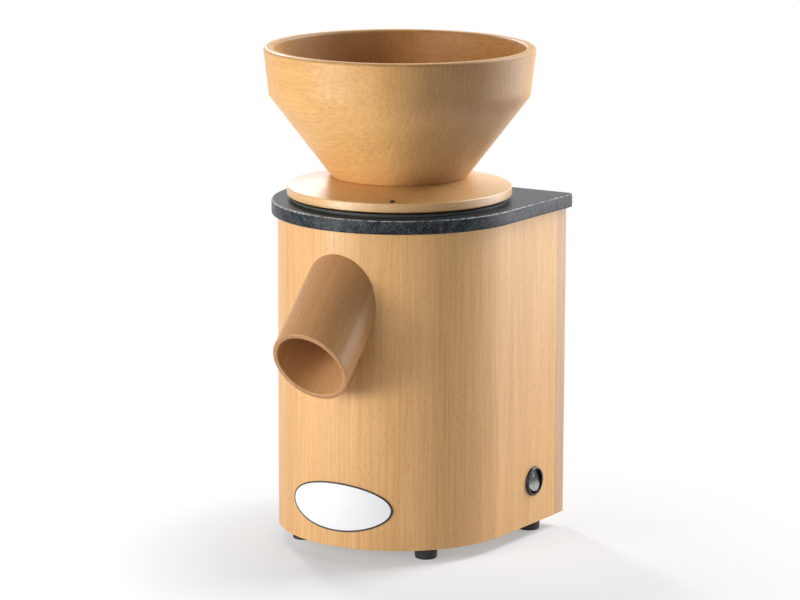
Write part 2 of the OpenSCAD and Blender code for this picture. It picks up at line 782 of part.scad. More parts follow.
module throat_guard() color("silver") on_axis(z_neck - guard_t) {
    ring(guard_r, throat_r, guard_t - seat_gap);
    translate([-throat_r - 1, -2, 0]) cube([2 * throat_r + 2, 4, guard_t - seat_gap]);
}

// ---- Motor ----

module bolt_places(z) for (a = bolt_angles) on_axis(z) polar(bolt_circle, a) children();

module end_bell(h, pocket) difference() {
    union() {
        linear_extrude(h) {
            difference() {
                circle(r = core_r);
                circle(r = core_r - bell_t);
            }
            for (a = bolt_angles) polar(bolt_circle, a) circle(r = lug_r);
        }
        cylinder(r = core_r, h = bell_t);
        cylinder(r = boss_r, h = pocket + bearing_w);
    }
    translate([0, 0, pocket]) cylinder(r = bearing_r + seat_gap, h = h);
    translate([0, 0, -1]) cylinder(r = shaft_r + 1, h = h);
    for (a = bolt_angles) polar(bolt_circle, a) translate([0, 0, -1])
        cylinder(r = bolt_r + seat_gap, h = h + 2);
    for (a = [22.5 : 45 : 337.5]) polar(core_r - bell_t - 2, a) translate([0, -6, bell_t + 3])
        cube([bell_t + 4, 12, h / 2]);
}

module upper_end_bell() color("silver") on_axis(z_chamber) mirror([0, 0, 1])
    end_bell(upper_bell_h, bell_t + 2);

module lower_end_bell() color("silver") difference() {
    on_axis(z_motor) end_bell(lower_bell_h, bell_t + 2);
    for (a = [22.5 : 45 : 337.5]) on_axis(z_motor - 1) polar((boss_r + core_r - bell_t) / 2, a)
        cylinder(r = 5, h = bell_t + 2);
}

module slot_plan(w, r1, r2) for (i = [0 : slot_count - 1]) rotate(i * 360 / slot_count)
    translate([r1, -w / 2]) square([r2 - r1, w]);

module stator_core() color("slategray") difference() {
    on_axis(z_core + seat_gap) linear_extrude(core_h - 2 * seat_gap) difference() {
        circle(r = core_r);
        circle(r = rotor_r + air_gap);
        slot_plan(slot_w, rotor_r - 1, slot_r2);
    }
    bolt_places(z_core - 1) cylinder(r = bolt_r + seat_gap, h = core_h + 2);
}

module stator_windings() color("darkorange") {
    on_axis(z_core - 2) linear_extrude(core_h + 4) slot_plan(slot_w - 0.4, slot_r1, slot_r2 - 0.2);
    for (z = [z_core - coil_h - 0.5, z_core_top + 0.5]) on_axis(z) rotate_extrude() polygon(concat(
        arc([slot_r2 - 2, coil_h - 3], 3, 0, 90, 4), arc([coil_in + 3, coil_h - 3], 3, 90, 180, 4),
        arc([coil_in + 3, 3], 3, 180, 270, 4), arc([slot_r2 - 2, 3], 3, 270, 360, 4)
    ));
}

module motor_bolts() color("silver") bolt_places(z_motor)
    cap_screw(bolt_r, z_chamber - z_motor + bolt_grip);

// A race: the ring between r_in and r_out, grooved for the balls
module race(r_in, r_out) rotate_extrude() difference() {
    translate([r_in, 0]) square([r_out - r_in, bearing_w]);
    translate([ball_circle, bearing_w / 2]) circle(r = ball_r + race_gap, $fn = 48);
}

module outer_race() color("lightsteelblue") race(bearing_r - race_t, bearing_r);

module inner_race() color("lightsteelblue") race(shaft_r + 0.01, shaft_r + race_t);

module balls() color("white") for (i = [0 : ball_count - 1]) rotate(i * 360 / ball_count)
    translate([ball_circle, 0, bearing_w / 2]) sphere(r = ball_r, $fn = 32);

module upper_outer_race() on_axis(z_upper_bearing) outer_race();

module lower_outer_race() on_axis(z_lower_bearing) outer_race();

module upper_inner_race() on_axis(z_upper_bearing) inner_race();

module lower_inner_race() on_axis(z_lower_bearing) inner_race();

module upper_balls() on_axis(z_upper_bearing) balls();

module lower_balls() on_axis(z_lower_bearing) balls();

module motor_shaft() color("silver") difference() {
    union() {
        on_axis(z_shaft) cylinder(r = shaft_r, h = z_nose - z_shaft);
        on_axis(z_shaft) cylinder(r = nose_r, h = z_shaft_top - z_shaft);
    }
    on_axis(z_hub + hub_t + spigot_h - 17) cylinder(r = 3 + seat_gap, h = 20);
}

module rotor_core() color("slategray") difference() {
    union() {
        on_axis(z_core) cylinder(r = rotor_r, h = core_h);
        on_axis(z_core - 7) ring(rotor_r - 1, rotor_r - 13, core_h + 14);
    }
    on_axis(z_core - 8) cylinder(r = shaft_r + 0.01, h = core_h + 16);
}

module cooling_fan() color("whitesmoke") difference() {
    union() {
        on_axis(z_fan) cylinder(r = 15, h = fan_h);
        on_axis(z_fan + fan_h - 2) cylinder(r = fan_r, h = 2);
        for (i = [0 : fan_blades - 1]) on_axis(z_fan) rotate(i * 360 / fan_blades)
            translate([13, -1, 0]) cube([fan_r - 14, 2, fan_h - 1]);
    }
    on_axis(z_fan - 1) cylinder(r = shaft_r + 0.01, h = fan_h + 2);
}

// ---- Electrical parts ----

module on_capacitor(z) on_axis(z) translate(capacitor_place) children();

module run_capacitor() color("lightgray") on_capacitor(z_floor) {
    r = capacitor_d / 2;
    rotate_extrude() polygon(concat(
        [[0, 0], [r, 0]], arc([r - 2, capacitor_h - 2], 2, 0, 90, 4), [[0, capacitor_h]]
    ));
    for (s = [-1, 1]) translate([6 * s - 0.4, -3, capacitor_h - 0.5]) cube([0.8, 6, 8]);
}

module capacitor_clamp() color("silver") on_capacitor(z_floor) difference() {
    r = capacitor_d / 2 + seat_gap;
    union() {
        cylinder(r = r + clamp_t, h = clamp_h);
        translate([-r - clamp_ear, -5, 0]) cube([2 * r + 2 * clamp_ear, 10, clamp_t]);
    }
    translate([0, 0, -1]) cylinder(r = r, h = clamp_h + 2);
    for (s = [-1, 1]) translate([s * (r + clamp_ear - 4), 0, -1]) cylinder(r = 1.8, h = clamp_t + 2);
}

module switch_body() color("black") on_switch() difference() {
    rotate_extrude() polygon(concat(
        [[0, -barrel_depth], [barrel_r, -barrel_depth], [barrel_r, seat_gap], [switch_r, seat_gap]],
        arc([switch_r - 1.6, switch_lip - 1.2], 1.2, 0, 90, 5),
        [[recess_r + 0.4, switch_lip], [recess_r, switch_lip - 0.8]],
        [[recess_r, -recess_depth], [0, -recess_depth]]
    ));
    translate([0, 0, -pivot_depth]) rotate([90, 0, 0])
        translate([0, 0, -barrel_r + 0.2]) cylinder(r = pivot_r + slip_gap, h = 2 * barrel_r - 0.4, $fn = 24);
}

module switch_rocker() color("black") on_switch() translate([0, 0, -pivot_depth])
    rotate([0, -rocker_swing / 2, 0]) {
        r = rocker_d / 2;
        rise = r * tan(rocker_swing / 2);
        intersection() {
            translate([0, r, pivot_depth]) rotate([90, 0, 0]) linear_extrude(2 * r) polygon([
                [-r, rise], [0, 0], [r, rise], [r, -4], [3, -8], [-3, -8], [-r, -4]
            ]);
            translate([0, 0, -5]) cylinder(r = r, h = 20);
        }
        rotate([90, 0, 0]) translate([0, 0, -recess_r - 0.5])
            cylinder(r = pivot_r, h = 2 * recess_r + 1, $fn = 24);
    }

module switch_terminals() color("gold") on_switch() for (x = [-6, 0, 6])
    translate([x - 0.4, -3.15, -barrel_depth - terminal_l]) cube([0.8, 6.3, terminal_l - seat_gap]);

module terminal_block() color("ivory") on_axis(z_floor) translate(terminal_place) difference() {
    translate([-terminal_size.x / 2, -terminal_size.y / 2, 0]) cube(terminal_size);
    for (i = [-1 : 1]) translate([i * terminal_size.x / 3, 0, 0]) {
        translate([0, 0, terminal_size.z - 6]) cylinder(r = 2.6, h = 7);
        translate([0, terminal_size.y, terminal_size.z / 3]) rotate([90, 0, 0])
            cylinder(r = 2.2, h = 2 * terminal_size.y);
    }
}

module cord_gland() color("black") on_gland() difference() {
    union() {
        translate([0, 0, seat_gap]) cylinder(r = gland_r + 3, h = 5, $fn = 6);
        rotate_extrude() polygon(concat(
            [[0, -back_t - gland_inside], [gland_r, -back_t - gland_inside]],
            [[gland_r, 4], [gland_r + 1.4, 5]],
            arc([gland_r - 2.6, gland_out - 4], 4, 0, 90, 5), [[0, gland_out]]
        ));
    }
    translate([0, 0, -back_t - gland_inside - 1])
        cylinder(r = gland_bore_r, h = back_t + gland_inside + gland_out + 2);
}

module gland_nut() color("dimgray") on_gland() translate([0, 0, -back_t - 5]) difference() {
    cylinder(r = gland_r + 3.5, h = 5 - seat_gap, $fn = 6);
    translate([0, 0, -1]) cylinder(r = gland_r + seat_gap, h = 7);
}

// Points beside the motor, in front of a terminal of the block, and at a terminal of the switch
function beside_motor(r, angle, z) = [(core_r + r) * cos(angle), (core_r + r) * sin(angle), z_core + z];

// The same place beside the motor, at a height of its own
function level(point, z) = [point.x, point.y, z];

function at_block(x, y, z) = [terminal_place.x + x, terminal_place.y - terminal_size.y / 2 - y, z_floor + z];

function at_switch(in, z) = let (r = body_r - barrel_depth - terminal_l - in)
    [r * cos(flare) + switch_along * sin(flare), switch_along * cos(flare) - r * sin(flare),
        z_body + switch_z + z];

module switch_leads() color("saddlebrown") on_axis() {
    sweep(smooth_path([
        at_block(-11, 0.1, 7), at_block(-12, 9, 8), at_block(-2, 16, 18), at_switch(11, -2),
        at_switch(lead_r, 0)
    ]), lead_r);
    sweep(smooth_path([
        at_block(0, 0.1, 7), at_block(0, 8, 8), at_block(8, 11, 14), at_switch(9, -8), at_switch(lead_r, -6)
    ]), lead_r);
}

module motor_leads() color("royalblue") on_axis() {
    tab = capacitor_place;
    z_tab = z_floor + capacitor_h + 8;
    sweep(smooth_path([
        at_block(11, 0.1, 7), at_block(12, 10, 8), at_block(14, 20, 18), beside_motor(11.5, 22.5, -85),
        beside_motor(11.5, 22.5, -50), beside_motor(8.4, 22.5, -32), beside_motor(1, 22.5, -23),
        beside_motor(-7, 22.5, -18)
    ]), lead_r);
    sweep(smooth_path([
        [tab.x + 6, tab.y, z_tab], [tab.x + 6, tab.y - 3, z_tab + 6],
        level(beside_motor(11.2, 151, 0), z_tab + 6), beside_motor(9.5, 156, -16),
        beside_motor(2.1, 157, -23), beside_motor(-7.8, 157, -19)
    ]), lead_r);
}

housing_shell();
back_panel();
base_plate();
base_blocks();
top_plate();
scale_ring();
spout_tube();
badge_plate();
badge_border();
foot_front_left();
foot_front_right();
foot_rear_left();
foot_rear_right();
foot_screws();
base_screws();
back_screws();
milling_chamber();
flour_duct();
thread_ring();
guide_pins();
carrier_springs();
chamber_seal();
chamber_screws();
upper_end_bell();
lower_end_bell();
stator_core();
stator_windings();
motor_bolts();
upper_outer_race();
lower_outer_race();
run_capacitor();
capacitor_clamp();
switch_body();
switch_terminals();
terminal_block();
cord_gland();
gland_nut();
switch_leads();
motor_leads();
stone_carrier();
upper_stone();
stone_screws();
thrust_washer();
hopper_bowl();
dial_disc();
dial_mark();
threaded_collar();
collar_screws();
throat_guard();
motor_shaft();
rotor_core();
runner_hub();
lower_stone();
hub_screw();
cooling_fan();
upper_inner_race();
lower_inner_race();
upper_balls();
lower_balls();
switch_rocker();
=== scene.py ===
# %% [markdown]
# # An electric grain mill in wood
#
# The mill is a bent beech housing on rubber feet, with a dark stone-like plate on top. A
# turned hopper on a wooden dial feeds two flat stones inside, and the flour leaves through
# a slanted wooden spout. The construction comes in as a fixed frame: every piece has its
# real size and place already, so this lesson is about surfaces, edges, small details and
# light.

# %% Load the frame
import math

import bmesh
import bpy
from mathutils import Matrix, Vector


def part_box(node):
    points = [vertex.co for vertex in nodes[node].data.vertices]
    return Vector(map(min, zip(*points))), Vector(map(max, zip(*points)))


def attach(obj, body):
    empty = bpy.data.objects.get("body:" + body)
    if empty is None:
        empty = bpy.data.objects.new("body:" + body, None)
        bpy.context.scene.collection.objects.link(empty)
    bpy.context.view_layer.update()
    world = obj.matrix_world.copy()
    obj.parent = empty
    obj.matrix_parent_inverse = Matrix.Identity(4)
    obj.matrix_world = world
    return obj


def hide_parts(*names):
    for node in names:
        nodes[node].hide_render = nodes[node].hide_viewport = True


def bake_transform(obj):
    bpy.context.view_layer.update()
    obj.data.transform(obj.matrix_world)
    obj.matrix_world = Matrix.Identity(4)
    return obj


# the frame is in metres
MM = 0.001

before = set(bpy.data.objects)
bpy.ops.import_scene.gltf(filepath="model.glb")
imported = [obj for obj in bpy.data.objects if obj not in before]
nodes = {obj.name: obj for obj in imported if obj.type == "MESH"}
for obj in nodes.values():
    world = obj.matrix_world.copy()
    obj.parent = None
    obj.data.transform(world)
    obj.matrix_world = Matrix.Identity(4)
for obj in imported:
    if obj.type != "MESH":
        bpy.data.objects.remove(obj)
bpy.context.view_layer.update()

# %% [markdown]
# ## The camera
#
# A long lens from far away keeps upright edges upright, which is how a kitchen appliance is
# usually shown. The camera looks a little down and from the right, so that the round front,
# the spout and the flat side with its switch are all in view.

# %% Camera
# the place is in metres, the angles are in degrees
FOCAL_MM = 161.25
SENSOR_MM = 36
CAMERA_PLACE = (1.5731, -2.6649, 0.8525)
CAMERA_DOWN = 11.598
CAMERA_TURN = 30.306
CAMERA_ROLL = 0.18

camera = bpy.data.objects.new("camera", bpy.data.cameras.new("camera"))
camera.data.lens = FOCAL_MM
camera.data.sensor_width = SENSOR_MM
camera.location = CAMERA_PLACE
turn = Matrix.Rotation(math.radians(CAMERA_TURN), 3, "Z")
tilt = Matrix.Rotation(math.radians(90 - CAMERA_DOWN), 3, "X")
roll = Matrix.Rotation(math.radians(CAMERA_ROLL), 3, "Z")
camera.rotation_euler = (turn @ tilt @ roll).to_euler()
bpy.context.scene.collection.objects.link(camera)
bpy.context.scene.camera = camera
print("camera at", [round(c, 3) for c in camera.location])

# %% [markdown]
# ## Places taken from the frame
#
# The milling axis is the middle of the dial. The spout's slope and how far the flat side
# flares are design values of the mill, and where its pieces lie is read from their boxes.


# %% Places
def middle(node):
    """The middle of a node's box."""
    low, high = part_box(node)
    return (low + high) / 2


SPOUT_SLOPE = math.radians(43.7)
SIDE_FLARE = math.radians(3.4)

axis = Vector((middle("dial_disc").x, middle("dial_disc").y, 0))
spout_dir = Vector((0, -math.cos(SPOUT_SLOPE), -math.sin(SPOUT_SLOPE)))
side_dir = Vector((math.cos(SIDE_FLARE), -math.sin(SIDE_FLARE), 0))
print("milling axis at", [round(c / MM, 1) for c in axis.xy], "mm")

# %% [markdown]
# ## Building materials from nodes
#
# A material is a small graph of nodes. Wiring it by hand takes two lines for each link, so
# one helper makes a node, fills its inputs with values or with other nodes' outputs, and
# returns an output. A graph then reads like a formula, from the inside out.


# %% Node helpers
def fill(tree, node, inputs):
    """Sets each input of a node: a socket is linked, anything else is a plain value."""
    for key, value in inputs.items():
        if isinstance(value, bpy.types.NodeSocket):
            tree.links.new(value, node.inputs[key])
        else:
            node.inputs[key].default_value = value


def add(tree, kind, inputs, output=0, **settings):
    """Adds one shader node and returns one of its outputs."""
    node = tree.nodes.new("ShaderNode" + kind)
    for name, value in settings.items():
        setattr(node, name, value)
    fill(tree, node, inputs)
    return node.outputs[output]


def math_node(tree, operation, a, b=0.0):
    """A Math node of two inputs."""
    return add(tree, "Math", {0: a, 1: b}, operation=operation)


def scaled(tree, vector, scale):
    """A vector stretched by a different factor along each axis."""
    return add(tree, "Mapping", {"Vector": vector, "Scale": scale})


def noise(tree, vector, detail, roughness=0.5):
    """Soft random values around 0.5, one bump per unit of the vector."""
    return add(tree, "TexNoise", {
        "Vector": vector, "Scale": 1.0, "Detail": detail, "Roughness": roughness})


FALLING = (1.0, 0.0)


def remap(tree, value, old, new=(0.0, 1.0), smooth=False):
    """Maps the ends of one range onto the ends of another, and holds the result between them."""
    kind = "SMOOTHSTEP" if smooth else "LINEAR"
    return add(tree, "MapRange", {
        "Value": value, "From Min": old[0], "From Max": old[1], "To Min": new[0], "To Max": new[1]},
        interpolation_type=kind)


def mix_color(tree, factor, a, b, blend="MIX"):
    """Mixes or multiplies two colours; in a Mix node these are inputs 6 and 7 and output 2."""
    return add(tree, "Mix", {0: factor, 6: a, 7: b}, 2, data_type="RGBA", blend_type=blend)


def rgba(r, g, b):
    """A colour that hides what lies behind it."""
    return (r, g, b, 1.0)


print("node helpers ready")

# %% [markdown]
# ### Groups and materials
#
# An effect that several materials share is worth a node group: it is built once, and each
# material places it with its own values. The shader stays in the material, where its plain
# numbers are set at once, and only what changes over the surface is linked to it.

# %% Helpers for groups and materials
SOCKETS = {"vector": "NodeSocketVector", "color": "NodeSocketColor", "value": "NodeSocketFloat"}


def new_group(name, inputs, outputs):
    """Starts a node group; returns its tree, the given inputs and the sockets of its results."""
    tree = bpy.data.node_groups.new(name, "ShaderNodeTree")
    for in_out, sockets in (("INPUT", inputs), ("OUTPUT", outputs)):
        for socket, kind in sockets.items():
            tree.interface.new_socket(socket, in_out=in_out, socket_type=SOCKETS[kind])
    given = tree.nodes.new("NodeGroupInput").outputs
    result = tree.nodes.new("NodeGroupOutput").inputs
    return tree, given, result


def use_group(tree, group, inputs):
    """Places a node group in a material and returns its outputs."""
    node = tree.nodes.new("ShaderNodeGroup")
    node.node_tree = group
    fill(tree, node, inputs)
    return node.outputs


def new_material(name, **constants):
    """A material with one Principled shader; an input's name is given with _ for each space."""
    material = bpy.data.materials.new(name)
    material.use_nodes = True
    shader = material.node_tree.nodes["Principled BSDF"]
    for key, value in constants.items():
        shader.inputs[key.replace("_", " ")].default_value = value
    return material, material.node_tree, shader


def finish_shader(tree, shader, color, roughness, height, depth):
    """Links what varies over the surface to the shader; depth is the relief in metres."""
    tree.links.new(color, shader.inputs["Base Color"])
    if roughness is not None:
        tree.links.new(roughness, shader.inputs["Roughness"])
    bump = add(tree, "Bump", {"Strength": 1.0, "Distance": depth, "Height": height})
    tree.links.new(bump, shader.inputs["Normal"])


frame_materials = len(bpy.data.materials)
print("the frame brings", frame_materials, "plain materials")

# %% [markdown]
# ## Wood, cut from one block
#
# Beech shows four things. Soft bands of tone run along the plank, thin growth rings cross
# it, fine fibres give a silky streak, and short dark pores lie scattered like dashes. An
# image would have to be wrapped round each piece. A solid texture is better here: it fills
# the space with wood, and each piece is cut from it, so the turned bowl shows long dashes
# on one side and end grain on the other, as a real one does. In the group, the grain runs
# along Z and the rings go round the Z axis.

# %% Wood grain group
# bumps in each metre, twice across the grain and then along it
BANDS = (38, 38, 1.6)
RING_WAVES = (30, 30, 2.5)
RING_GAPS = (70, 70, 12)
FIBRES = (520, 520, 10)
PORES = (1300, 1300, 110)

# the waves shift a ring by some years, a ring darkens late in its year, and the mean of all
# rings is taken off, so that they leave the wood as a whole no darker
WAVE_YEARS = 4.0
LATE_POWER = 3.0
LATE_MEAN = 0.15
LATE_END = 0.93
GAP_NOISE = (0.35, 0.65)
GAP_STRENGTH = (0.25, 1.0)
RINGS_ALONG = 0.35
RINGS_CUT_ACROSS = 0.9

PORE_RIM = (0.12, 0.30)
PORE_SHARE = (0.1, 0.8)
FIBRE_RELIEF = 0.3
FIBRE_NOISE = (0.2, 0.8)
WOOD_ROUGHNESS = (0.36, 0.50)


def wood_group():
    """A block of wood whose bands, rings, fibres and pores have a strength of their own each."""
    tree, given, result = new_group(
        "Wood grain",
        {"Vector": "vector", "Light": "color", "Dark": "color", "Pore": "color", "Bands": "value",
         "Ring Width": "value", "Rings": "value", "Fibres": "value", "Pores": "value",
         "End": "value", "End Tint": "color"},
        {"Color": "color", "Roughness": "value", "Height": "value"})
    vector = given["Vector"]

    # bands of tone, from a few centimetres to a few millimetres wide and much longer
    bands = noise(tree, scaled(tree, vector, BANDS), 4.0, 0.6)
    bands = math_node(tree, "MULTIPLY", math_node(tree, "SUBTRACT", bands, 0.5), given["Bands"])

    # growth rings: the distance from the pith, a little wavy, cut into a ramp for each year
    flat = add(tree, "VectorMath", {0: scaled(tree, vector, (1, 1, 0))}, 1, operation="LENGTH")
    waves = noise(tree, scaled(tree, vector, RING_WAVES), 3.0)
    years = math_node(tree, "DIVIDE", flat, given["Ring Width"])
    years = math_node(tree, "ADD", years, math_node(tree, "MULTIPLY", waves, WAVE_YEARS))
    year = math_node(tree, "FRACT", years)
    late = math_node(tree, "POWER", year, LATE_POWER)
    late = math_node(tree, "MULTIPLY", late, remap(tree, year, (LATE_END, 1.0), FALLING))
    gaps = noise(tree, scaled(tree, vector, RING_GAPS), 2.0)
    late = math_node(tree, "MULTIPLY", late, remap(tree, gaps, GAP_NOISE, GAP_STRENGTH))

    # the rings show best where the saw has cut across them
    crossing = math_node(tree, "MULTIPLY", given["End"], RINGS_CUT_ACROSS)
    crossing = math_node(tree, "ADD", RINGS_ALONG, crossing)
    late = math_node(tree, "MULTIPLY", math_node(tree, "SUBTRACT", late, LATE_MEAN), crossing)
    rings = math_node(tree, "MULTIPLY", late, given["Rings"])

    # fibres: a fine silky streak
    fibres = noise(tree, scaled(tree, vector, FIBRES), 3.0, 0.7)
    streak = math_node(tree, "MULTIPLY", math_node(tree, "SUBTRACT", fibres, 0.5), given["Fibres"])

    # pores: one short dash in each stretched cell, and some cells without one
    cells = tree.nodes.new("ShaderNodeTexVoronoi")
    fill(tree, cells, {"Vector": scaled(tree, vector, PORES), "Scale": 1.0})
    dash = remap(tree, cells.outputs["Distance"], PORE_RIM, FALLING)
    share = add(tree, "SeparateColor", {"Color": cells.outputs["Color"]})
    dash = math_node(tree, "MULTIPLY", dash, remap(tree, share, PORE_SHARE))
    dash = math_node(tree, "MULTIPLY", dash, given["Pores"])

    # a tone of 0.5 lies in the middle between the light and the dark colour
    tone = math_node(tree, "ADD", math_node(tree, "ADD", bands, rings), math_node(tree, "ADD", streak, 0.5))
    color = mix_color(tree, tone, given["Light"], given["Dark"])
    color = mix_color(tree, dash, color, given["Pore"])

    # end grain drinks more oil, so it takes a tint of its own
    tinted = mix_color(tree, 1.0, color, given["End Tint"], "MULTIPLY")
    color = mix_color(tree, given["End"], color, tinted)
    relief = math_node(tree, "SUBTRACT", math_node(tree, "MULTIPLY", fibres, FIBRE_RELIEF), dash)
    tree.links.new(color, result["Color"])
    tree.links.new(remap(tree, fibres, FIBRE_NOISE, WOOD_ROUGHNESS), result["Roughness"])
    tree.links.new(relief, result["Height"])
    return tree


wood_grain = wood_group()
print("group:", wood_grain.name, len(wood_grain.nodes), "nodes")

# %% [markdown]
# ### From the group to each wood
#
# One function turns the block of wood so that its grain lies along a given direction, and
# sets the place of the pith, the heart of the tree. A pith far away gives nearly straight
# rings, and a near one gives curved figures on a turned piece. Where a surface faces along
# the grain it shows the cut ends of the fibres, which look darker on the oiled bowl and
# greyer on the sawn mouth of the spout.

# %% Wood maker
END_GRAIN = (0.62, 0.98)
WOOD_RELIEF = 0.08 * MM
OIL_ROUGHNESS = 0.42


def grain_vector(tree, grain, pith):
    """Object coordinates in metres, turned so that the grain runs along Z through the pith."""
    turn = Vector(grain).rotation_difference(Vector((0, 0, 1)))
    place = -(turn @ Vector(pith))
    where = add(tree, "TexCoord", {}, "Object")
    return add(tree, "Mapping", {"Vector": where, "Location": place, "Rotation": turn.to_euler()})


def end_grain(tree, grain, upright):
    """1 where the surface faces along the grain, 0 where the grain runs along the surface.

    A small "upright" leaves out how much the surface leans, so that a cone counts as its wall does.
    """
    facing = scaled(tree, add(tree, "TexCoord", {}, "Normal"), (1, 1, upright))
    facing = add(tree, "VectorMath", {0: facing}, operation="NORMALIZE")
    along = add(tree, "VectorMath", {0: facing, 1: Vector(grain).normalized()}, 1,
                operation="DOT_PRODUCT")
    return remap(tree, math_node(tree, "ABSOLUTE", along), END_GRAIN, smooth=True)


def wood(name, grain, pith, light, dark, pore=(0.36, 0.17, 0.065), bands=1.3, ring_width=4 * MM,
         rings=0.35, fibres=2.0, pores=0.75, end_tint=(1.0, 1.0, 1.0), upright=1.0, specular=0.4, coat=0.0):
    """A satin oiled wood."""
    material, tree, shader = new_material(
        name, Specular_IOR_Level=specular, Coat_Weight=coat, Coat_Roughness=OIL_ROUGHNESS)
    out = use_group(tree, wood_grain, {
        "Vector": grain_vector(tree, grain, pith), "Light": rgba(*light), "Dark": rgba(*dark),
        "Pore": rgba(*pore), "Bands": bands, "Ring Width": ring_width, "Rings": rings,
        "Fibres": fibres, "Pores": pores, "End": end_grain(tree, grain, upright),
        "End Tint": rgba(*end_tint)})
    finish_shader(tree, shader, out["Color"], out["Roughness"], out["Height"], WOOD_RELIEF)
    return material


print("end grain counts from", END_GRAIN[0], "and is full at", END_GRAIN[1])

# %% Woods
UP = (0, 0, 1)
PLANK = (0.92, -0.39, 0)
ACROSS = Vector((0.39, 0.92, 0))

beech_shell = wood(
    "beech_shell", grain=UP, pith=(0.35, 0.75, 0), light=(0.80, 0.465, 0.195),
    dark=(0.62, 0.335, 0.122), ring_width=9 * MM)
beech_back = wood(
    "beech_back", grain=UP, pith=(0.1, 0.5, 0), light=(0.66, 0.40, 0.235),
    dark=(0.50, 0.29, 0.155), ring_width=6 * MM)
beech_turned = wood(
    "beech_turned", grain=PLANK, pith=axis + 0.7 * ACROSS + Vector((0, 0, 0.5)),
    light=(0.80, 0.455, 0.165), dark=(0.62, 0.325, 0.105), ring_width=4.5 * MM, rings=0.7,
    end_tint=(0.55, 0.54, 0.60), upright=0.3, specular=0.28, coat=0.15)
beech_dial = wood(
    "beech_dial", grain=PLANK, pith=axis + 0.3 * ACROSS + Vector((0, 0, 0.1)),
    light=(0.76, 0.455, 0.178), dark=(0.60, 0.330, 0.115), ring_width=4.2 * MM, rings=0.5,
    end_tint=(0.85, 0.83, 0.82), specular=0.6, coat=0.8)
beech_spout = wood(
    "beech_spout", grain=spout_dir, pith=(0.05, 0.1, 0.45), light=(0.60, 0.320, 0.135),
    dark=(0.44, 0.210, 0.080), ring_width=5 * MM, rings=0.9, fibres=1.0,
    end_tint=(0.80, 0.82, 0.92), specular=0.3)
dark_dowel = wood(
    "dark_dowel", grain=UP, pith=(0, 0, 0), light=(0.045, 0.022, 0.012),
    dark=(0.022, 0.011, 0.007), pores=0.1, specular=0.2)
print("woods:", len(bpy.data.materials) - frame_materials)

# %% [markdown]
# ## Speckled, brushed and layered surfaces
#
# The other finishes share three effects. Speckle scatters small light and dark grains, for
# the stone-like plate, cast metal, rubber, moulded plastic and the millstones. Brushing
# draws fine lines along one direction, for turned and ground steel. Layers repeat thin
# sheets, for plywood edges, the motor's steel laminations and its wound copper.

# %% Speckle group
COARSER = (0.22, 0.22, 0.22)
COARSE_SHARE = 0.6
FLECK_FROM = (0.72, 1.02)


def speckle_group():
    """Flecks of a second colour, where a fine and a coarse noise add up to much."""
    tree, given, result = new_group(
        "Speckle",
        {"Vector": "vector", "Base": "color", "Fleck": "color", "Size": "value", "Amount": "value"},
        {"Color": "color", "Mask": "value", "Height": "value"})
    per_metre = math_node(tree, "DIVIDE", 1.0, given["Size"])
    cells = add(tree, "VectorMath", {0: given["Vector"], 3: per_metre}, operation="SCALE")
    fine = noise(tree, cells, 2.0, 0.6)
    coarse = noise(tree, scaled(tree, cells, COARSER), 3.0)
    both = math_node(tree, "ADD", fine, math_node(tree, "MULTIPLY", coarse, COARSE_SHARE))
    mask = remap(tree, both, FLECK_FROM)
    shown = math_node(tree, "MULTIPLY", mask, given["Amount"])
    tree.links.new(mix_color(tree, shown, given["Base"], given["Fleck"]), result["Color"])
    tree.links.new(mask, result["Mask"])
    tree.links.new(fine, result["Height"])
    return tree


speckle = speckle_group()
print("group:", speckle.name, len(speckle.nodes), "nodes")

# %% Brushed group
STAINS = (60, 60, 60)
SHADE_NOISE = (0.6, 1.4)
SHADES = (0.78, 1.08)
LINE_NOISE = (0.25, 0.75)
LINE_ROUGHNESS = (0.75, 1.3)


def brushed_group():
    """Fine lines with faint stains; the lines also make the metal rougher and smoother."""
    tree, given, result = new_group(
        "Brushed",
        {"Vector": "vector", "Base": "color", "Fine": "vector", "Roughness": "value"},
        {"Color": "color", "Roughness": "value", "Height": "value"})
    lines = add(tree, "VectorMath", {0: given["Vector"], 1: given["Fine"]}, operation="MULTIPLY")
    lines = noise(tree, lines, 4.0, 0.65)
    stains = noise(tree, scaled(tree, given["Vector"], STAINS), 2.0)
    shade = remap(tree, math_node(tree, "ADD", lines, stains), SHADE_NOISE, SHADES)
    gray = add(tree, "CombineColor", {0: shade, 1: shade, 2: shade})
    tree.links.new(mix_color(tree, 1.0, given["Base"], gray, "MULTIPLY"), result["Color"])
    rough = remap(tree, lines, LINE_NOISE, LINE_ROUGHNESS)
    tree.links.new(math_node(tree, "MULTIPLY", rough, given["Roughness"]), result["Roughness"])
    tree.links.new(lines, result["Height"])
    return tree


brushed = brushed_group()
print("group:", brushed.name, len(brushed.nodes), "nodes")

# %% Layers group
WOBBLE = (90, 90, 900)
WOBBLE_SHEETS = 0.25
JOINT_RIM = (0.03, 0.14)


def layers_group():
    """Sheets stacked along Z, with a thin joint between each two."""
    tree, given, result = new_group(
        "Layers",
        {"Vector": "vector", "Sheet": "color", "Joint": "color", "Thickness": "value"},
        {"Color": "color", "Height": "value"})
    z = add(tree, "SeparateXYZ", {"Vector": given["Vector"]}, 2)
    wobble = noise(tree, scaled(tree, given["Vector"], WOBBLE), 2.0)
    sheets = math_node(tree, "ADD", math_node(tree, "DIVIDE", z, given["Thickness"]),
                       math_node(tree, "MULTIPLY", wobble, WOBBLE_SHEETS))
    place = math_node(tree, "PINGPONG", sheets, 0.5)
    joint = remap(tree, place, JOINT_RIM, FALLING)
    tree.links.new(mix_color(tree, joint, given["Sheet"], given["Joint"]), result["Color"])
    tree.links.new(math_node(tree, "SUBTRACT", 1.0, joint), result["Height"])
    return tree


